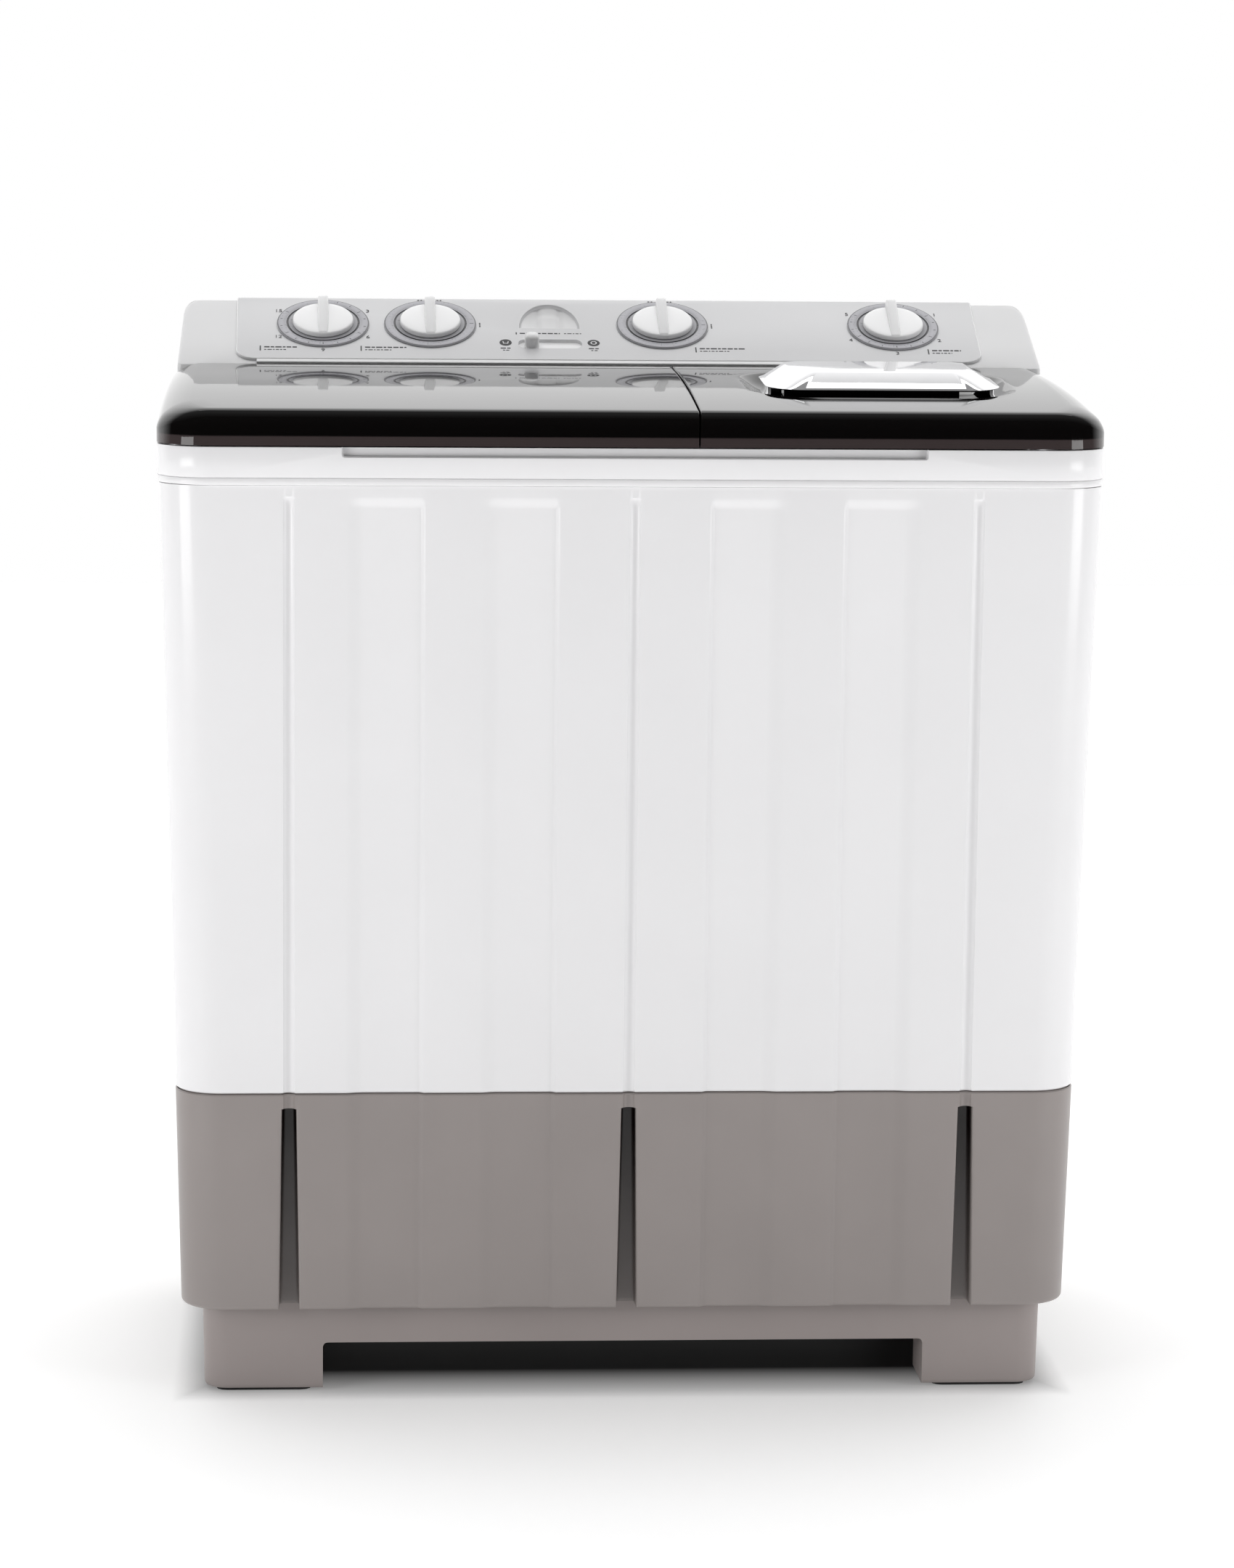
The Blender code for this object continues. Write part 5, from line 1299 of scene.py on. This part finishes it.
def basket_wall(r0, z0, r1, z1, cols, rows, hole):
    """A tapered wall whose tiles each have a round hole."""
    verts, faces = [], []
    index = {}

    def vert(a, z, key):
        if key not in index:
            r = r0 + (r1 - r0) * (z - z0) / (z1 - z0)
            index[key] = len(verts)
            verts.append((SPIN.x + r * cos(a), SPIN.y + r * sin(a), z))
        return index[key]

    da = 2 * pi / cols
    dz = (z1 - z0) / rows
    for j in range(rows):
        for i in range(cols):
            ca = (i + 0.5) * da
            cz = z0 + (j + 0.5) * dz
            loop = []
            for k in range(8):
                t = 2 * pi * k / 8 + pi / 8
                loop.append(vert(ca + hole * cos(t) / r0, cz + hole * sin(t), ("h", i, j, k)))
            quad = []
            for ci, cj in ((i + 1, j + 1), (i, j + 1), (i, j), (i + 1, j)):
                quad.append(vert(ci * da, z0 + cj * dz, ("c", ci % cols, cj)))
            for side in range(4):
                k = 2 * side
                faces.append((quad[side], loop[(k + 1) % 8], loop[k]))
                faces.append((quad[side], quad[(side + 1) % 4], loop[(k + 2) % 8], loop[(k + 1) % 8]))
    return verts, faces


def turned_about(a, x, y):
    """A point given along and across the spoke at angle a of the spin tub."""
    return SPIN.x + x * cos(a) - y * sin(a), SPIN.y + x * sin(a) + y * cos(a)


BASKET_LIP = ((0.1316, 0.8), (0.1318, 0.81), (0.1322, 0.8196))
BASKET_FLOOR = (
    # radius, height
    (0.1212, 0.43), (0.1206, 0.422), (0.119, 0.415), (0.115, 0.4118), (0.108, 0.4106), (0.06, 0.4106),
    (0.04, 0.413), (0.015, 0.416), (0.001, 0.416),
)
COLLAR = (
    (0.1133, 0.824), (0.1133, 0.8375), (0.1148, 0.8402), (0.12, 0.8409), (0.129, 0.8409), (0.1332, 0.8395),
    (0.1345, 0.836), (0.1345, 0.824), (0.1335, 0.8206), (0.124, 0.8204), (0.1145, 0.8206),
)


def spin_basket():
    wall = basket_wall(0.1212, 0.43, 0.1316, 0.8, 72, 20, 0.0026)
    top = loft([circle(SPIN, r, z, 72) for r, z in BASKET_LIP], caps=(False, False))
    bottom = loft([circle(SPIN, r, z, 72) for r, z in BASKET_FLOOR], caps=(False, True))
    sheet = merged([wall, top, bottom])
    drum = piece("basket_drum", sheet, BASKET, "basket_steel", ["spin_basket"], 40, body="spin_basket")
    thicken(drum, 0.0008, 40, even=False)
    section = ((-0.0003, -0.009), (0.0035, -0.006), (0.0048, 0.0), (0.0035, 0.006), (-0.0003, 0.009))
    ribs = []
    for k in range(6):
        a = 2 * pi * k / 6
        rings = []
        for z, share in ((0.432, 0.1), (0.445, 1.0), (0.78, 1.0), (0.796, 0.1)):
            r = 0.1206 + 0.0104 * (z - 0.43) / 0.37 - 0.0002
            ring = []
            for rise, side in section:
                ring.append((*turned_about(a, r - rise * (share if rise > 0 else 1), side), z))
            rings.append(ring)
        ribs.append(loft(rings))
    piece("basket_ribs", merged(ribs), BASKET, "basket_steel", angle=60, body="spin_basket")
    collar = turned(SPIN, curve_through(COLLAR, 3)[:-1], 128, closed=True)
    piece("balance_collar", collar, TUB, "tub_plastic", ["balance_ring"], 60, body="spin_basket")


CASE_CURVE = ((0.145, 0.388), (0.15, 0.3905), (0.152, 0.396), (0.1535, 0.5), (0.157, 0.864))


def spin_case():
    profile = [(0.0145, 0.3877), (0.14, 0.3877), *curve_through(CASE_CURVE, 4), (0.1585, 0.866), (0.168, 0.8662)]
    sheet = loft([circle(SPIN, r, z, 128) for r, z in profile], caps=(False, False))
    thicken(piece("spin_case_shell", sheet, TUB, "tub_plastic", ["spin_case"], 40), 0.0023, 40, even=False)


def safety_cover():
    profile = curve_through(
        ((0.1085, 0.8204), (0.11, 0.8216), (0.11, 0.8248), (0.1088, 0.8262), (0.104, 0.8264), (0.07, 0.8256),
         (0.034, 0.8232), (0.02, 0.8232), (0.017, 0.8262), (0.016, 0.83), (0.0145, 0.8322), (0.01, 0.8329),
         (0.001, 0.833)), 3,
    )
    cover = piece("spin_cover_disc", turned(SPIN, profile, 96), BLUE, "pulsator_plastic", ["spin_safety_cover"], 50,
                  body="safety_cover")
    slots = []
    for k in range(12):
        a = 2 * pi * (k + 0.5) / 12
        ring = [turned_about(a, x, y) for x, y, _ in rounded(0.05, 0.092, -0.003, 0.003, 0.0028, 0, 6)]
        slots.append(loft([[(*point, z) for point in ring] for z in (0.81, 0.84)]))
    carve(cover, slots, angle=50)


# Rear


SCREW_HEAD = ((0.0042, 0.0), (0.0042, 0.0004), (0.0038, 0.0012), (0.0026, 0.0019), (0.001, 0.0022))


def cross_head(name, x, surface, z, sunk):
    """A screw on a surface that faces back, sunk into it a little, with a cross cut in its head."""
    shape = along_y(turned((0, 0), SCREW_HEAD, 32), x, surface - sunk, z)
    screw = piece(name, shape, STEEL, "hinge_steel", angle=40)
    spans = ((0.002, 0.0004), (0.0004, 0.002))
    cuts = [box(x - w, x + w, surface + 0.0008, surface + 0.004, z - h, z + h) for w, h in spans]
    carve(screw, cuts, angle=40)


def fasteners():
    """Screws on the rear cover and on the back of the console."""
    places = [(sx * 0.286, z) for sx in (-1, 1) for z in (0.118, 0.236, 0.354, 0.472, 0.603)]
    places += [(x, z) for x in (-0.143, 0.0, 0.143) for z in (0.118, 0.603)]
    for k, (x, z) in enumerate(places):
        cross_head(f"rear_screw_{k + 1}", x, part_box("back_panel")[1].y, z, 0.0005)
    for k, x in enumerate((-0.36, -0.2, 0.06, 0.2, 0.36)):
        cross_head(f"console_screw_{k + 1}", x, CONSOLE_BACK_Y, 0.905, 0.0002)


REAR_FITTINGS = (
    # name, replaced node, look, slot, place, profile as (radius, distance back)
    ("inlet_connector", "water_inlet_port", BLACK_PLASTIC, "port_plastic", (SCOOP_X, CONSOLE_BACK_Y + 0.0003, 0.945), (
        (0.007, -0.014), (0.01, -0.014), (0.01, 0.0002), (0.0145, 0.0002), (0.0145, 0.0014), (0.0112, 0.0018),
        (0.011, 0.0052), (0.01, 0.0055), (0.0072, 0.0055),
    )),
    ("outlet_spout", "drain_outlet", PIPE, "pipe_plastic", (OUTLET_X, 0.2343, FITTING_Z), (
        (0.01, 0.0), (0.0138, 0.0), (0.0138, 0.0165), (0.0188, 0.0165), (0.019, 0.0168), (0.019, 0.018),
        (0.0186, 0.0182), (0.013, 0.0182), (0.013, 0.0202), (0.0127, 0.0205), (0.01, 0.0205),
    )),
    ("gland_body", "cord_gland", RUBBER, "rubber", (GLAND_X, BODY_BACK_Y, FITTING_Z), (
        (0.004, -0.006), (0.011, -0.006), (0.011, -0.0032), (0.0086, -0.0032), (0.0086, 0.0003), (0.0122, 0.0003),
        (0.0125, 0.0006), (0.0125, 0.003), (0.012, 0.0034), (0.007, 0.0042), (0.004, 0.0042),
    )),
)


def rear_fittings():
    for name, node, mat, slot, place, profile in REAR_FITTINGS:
        piece(name, along_y(turned((0, 0), profile, 64, closed=True), *place), mat, slot, [node], 35)


# Build everything

upper_cabinet()
lower_cabinet()
base()
top_frame()
opening_lips()
lid("wash_lid", -HALF_W, SPLIT_X - SPLIT_GAP / 2, False)
lid("spin_lid", HALF_W, SPLIT_X + SPLIT_GAP / 2, True)
lid_ears()
handle()
console()
panel()
scoop_bowl()
dials()
slider()
printing()
wash_tub()
pulsator()
filter_frame()
spin_case()
spin_basket()
safety_cover()
fasteners()
rear_fittings()

# Nodes that keep their CAD shape, by look
KEPT = (
    (PAINTED, "back_panel"),
    (TIMER_CASE, "wash_timer_unit spin_timer_unit"),
    (PIPE, "overflow_pipe drain_elbow drain_pipe drain_valve_housing"),
    (CAST, "shaft_bearing brake_drum brake_lever"),
    (STEEL, "wash_lid_left_hinge_pin wash_lid_right_hinge_pin spin_lid_left_hinge_pin spin_lid_right_hinge_pin"),
    (STEEL, "pulsator_shaft wash_motor_shaft spin_shaft"),
    (BLACK_PLASTIC, "drive_pulley_large motor_pulley_small"),
    (RUBBER, "foot_pad_front_left foot_pad_front_right foot_pad_rear_left foot_pad_rear_right"),
    (RUBBER, "drain_valve_plunger drive_belt shaft_seal motor_mount_1 motor_mount_2 motor_mount_3"),
    (MOTOR, "wash_motor spin_motor"),
)
for mat, names in KEPT:
    for node in names.split():
        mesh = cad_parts[node].data
        mesh.materials.clear()
        mesh.materials.append(mat)


# Studio


def area_light(name, place, target, width, height, power):
    data = bpy.data.lights.new(name, "AREA")
    data.shape = "RECTANGLE"
    data.size = width
    data.size_y = height
    data.energy = power
    light = shown(name, data)
    light.location = place
    light.rotation_euler = (Vector(target) - Vector(place)).to_track_quat("-Z", "Y").to_euler()
    return light


def paper():
    """White floor paper with a painted black shadow in the space under the base between the feet."""
    mat, tree, bsdf, where = new_material("floor_paper")
    across_x, across_y, _ = split_up(tree, where)
    sheet = blended(tree, noise(tree, where, 300.0, 2.0), (0.89, 0.89, 0.89), (0.91, 0.91, 0.91))
    ends = ranged(tree, joined(tree, "ABSOLUTE", across_x), 0.0, 1.0, (0.36, 0.42))
    front = ranged(tree, across_y, 1.0, 0.0, (-0.235, -0.13))
    rear = ranged(tree, across_y, 0.0, 1.0, (0.2, 0.3))
    outside_painted_shadow = joined(tree, "MAXIMUM", joined(tree, "MAXIMUM", ends, front), rear)
    # painted shadow: the paper's colour goes to black under the base, between the feet
    tree.links.new(blended(tree, outside_painted_shadow, (0.0, 0.0, 0.0), sheet), bsdf.inputs["Base Color"])
    bsdf.inputs["Emission Color"].default_value = (1.0, 1.0, 1.0, 1.0)
    # the paper glows so that it reads white; the glow is taken away under the base with the painted shadow, and grows
    # with distance from the middle
    far = ranged(tree, length(tree, where), 0.0, 0.25, (0.9, 1.8))
    glow = joined(tree, "ADD", ranged(tree, outside_painted_shadow, 0.0, 0.3, (0.0, 1.0)), far)
    tree.links.new(glow, bsdf.inputs["Emission Strength"])
    bsdf.inputs["Roughness"].default_value = 0.6
    bsdf.inputs["Specular IOR Level"].default_value = 0.2
    return mat


def studio():
    floor = shown("floor", mesh_of("floor", (corners(-7, 7, -7, 7, 0), [(0, 1, 2, 3)])))
    floor.data.materials.append(paper())
    for side, x, power in (("left", -2.0, 12.0), ("right", 2.1, 12.5)):
        softbox = area_light(f"softbox_{side}", (x, -1.5, 0.8), (0.0, 0.0, 0.55), 1.1, 1.2, power)
        softbox.visible_glossy = False
        area_light(f"card_{side}", (x, -1.5, 0.64), (0.0, -0.2, 0.88), 1.05, 0.44, 6.0)
    top = area_light("softbox_top", (0.0, 0.1, 3.0), (0.0, 0.0, 0.5), 3.2, 2.6, 29.5)
    top.visible_glossy = False
    area_light("strip_handle", (0.236, 0.19, 2.6), (0.236, -0.145, 0.94), 2.4, 0.3, 3.2)
    world = bpy.data.worlds.new("studio")
    bpy.context.scene.world = world
    world.use_nodes = True
    tree = world.node_tree
    background = tree.nodes["Background"]
    background.inputs["Color"].default_value = (1.0, 1.0, 1.0, 1.0)
    _, back, up = split_up(tree, tree.nodes.new("ShaderNodeTexCoord").outputs["Generated"])
    behind = ranged(tree, back, 0.02, 1.15, (0.1, 0.55))
    above = ranged(tree, up, 0.0, 0.3, (0.05, 0.9))
    path = tree.nodes.new("ShaderNodeLightPath")
    softer = ranged(tree, path.outputs["Is Diffuse Ray"], 1.0, 0.88, (0.0, 1.0))
    softer = joined(tree, "MULTIPLY", joined(tree, "ADD", behind, above), softer)
    seen = tree.nodes.new("ShaderNodeMix")
    seen.inputs["B"].default_value = 1.0
    tree.links.new(path.outputs["Is Camera Ray"], seen.inputs["Factor"])
    tree.links.new(softer, seen.inputs["A"])
    tree.links.new(seen.outputs["Result"], background.inputs["Strength"])
    bpy.context.scene.view_settings.view_transform = "Standard"


studio()
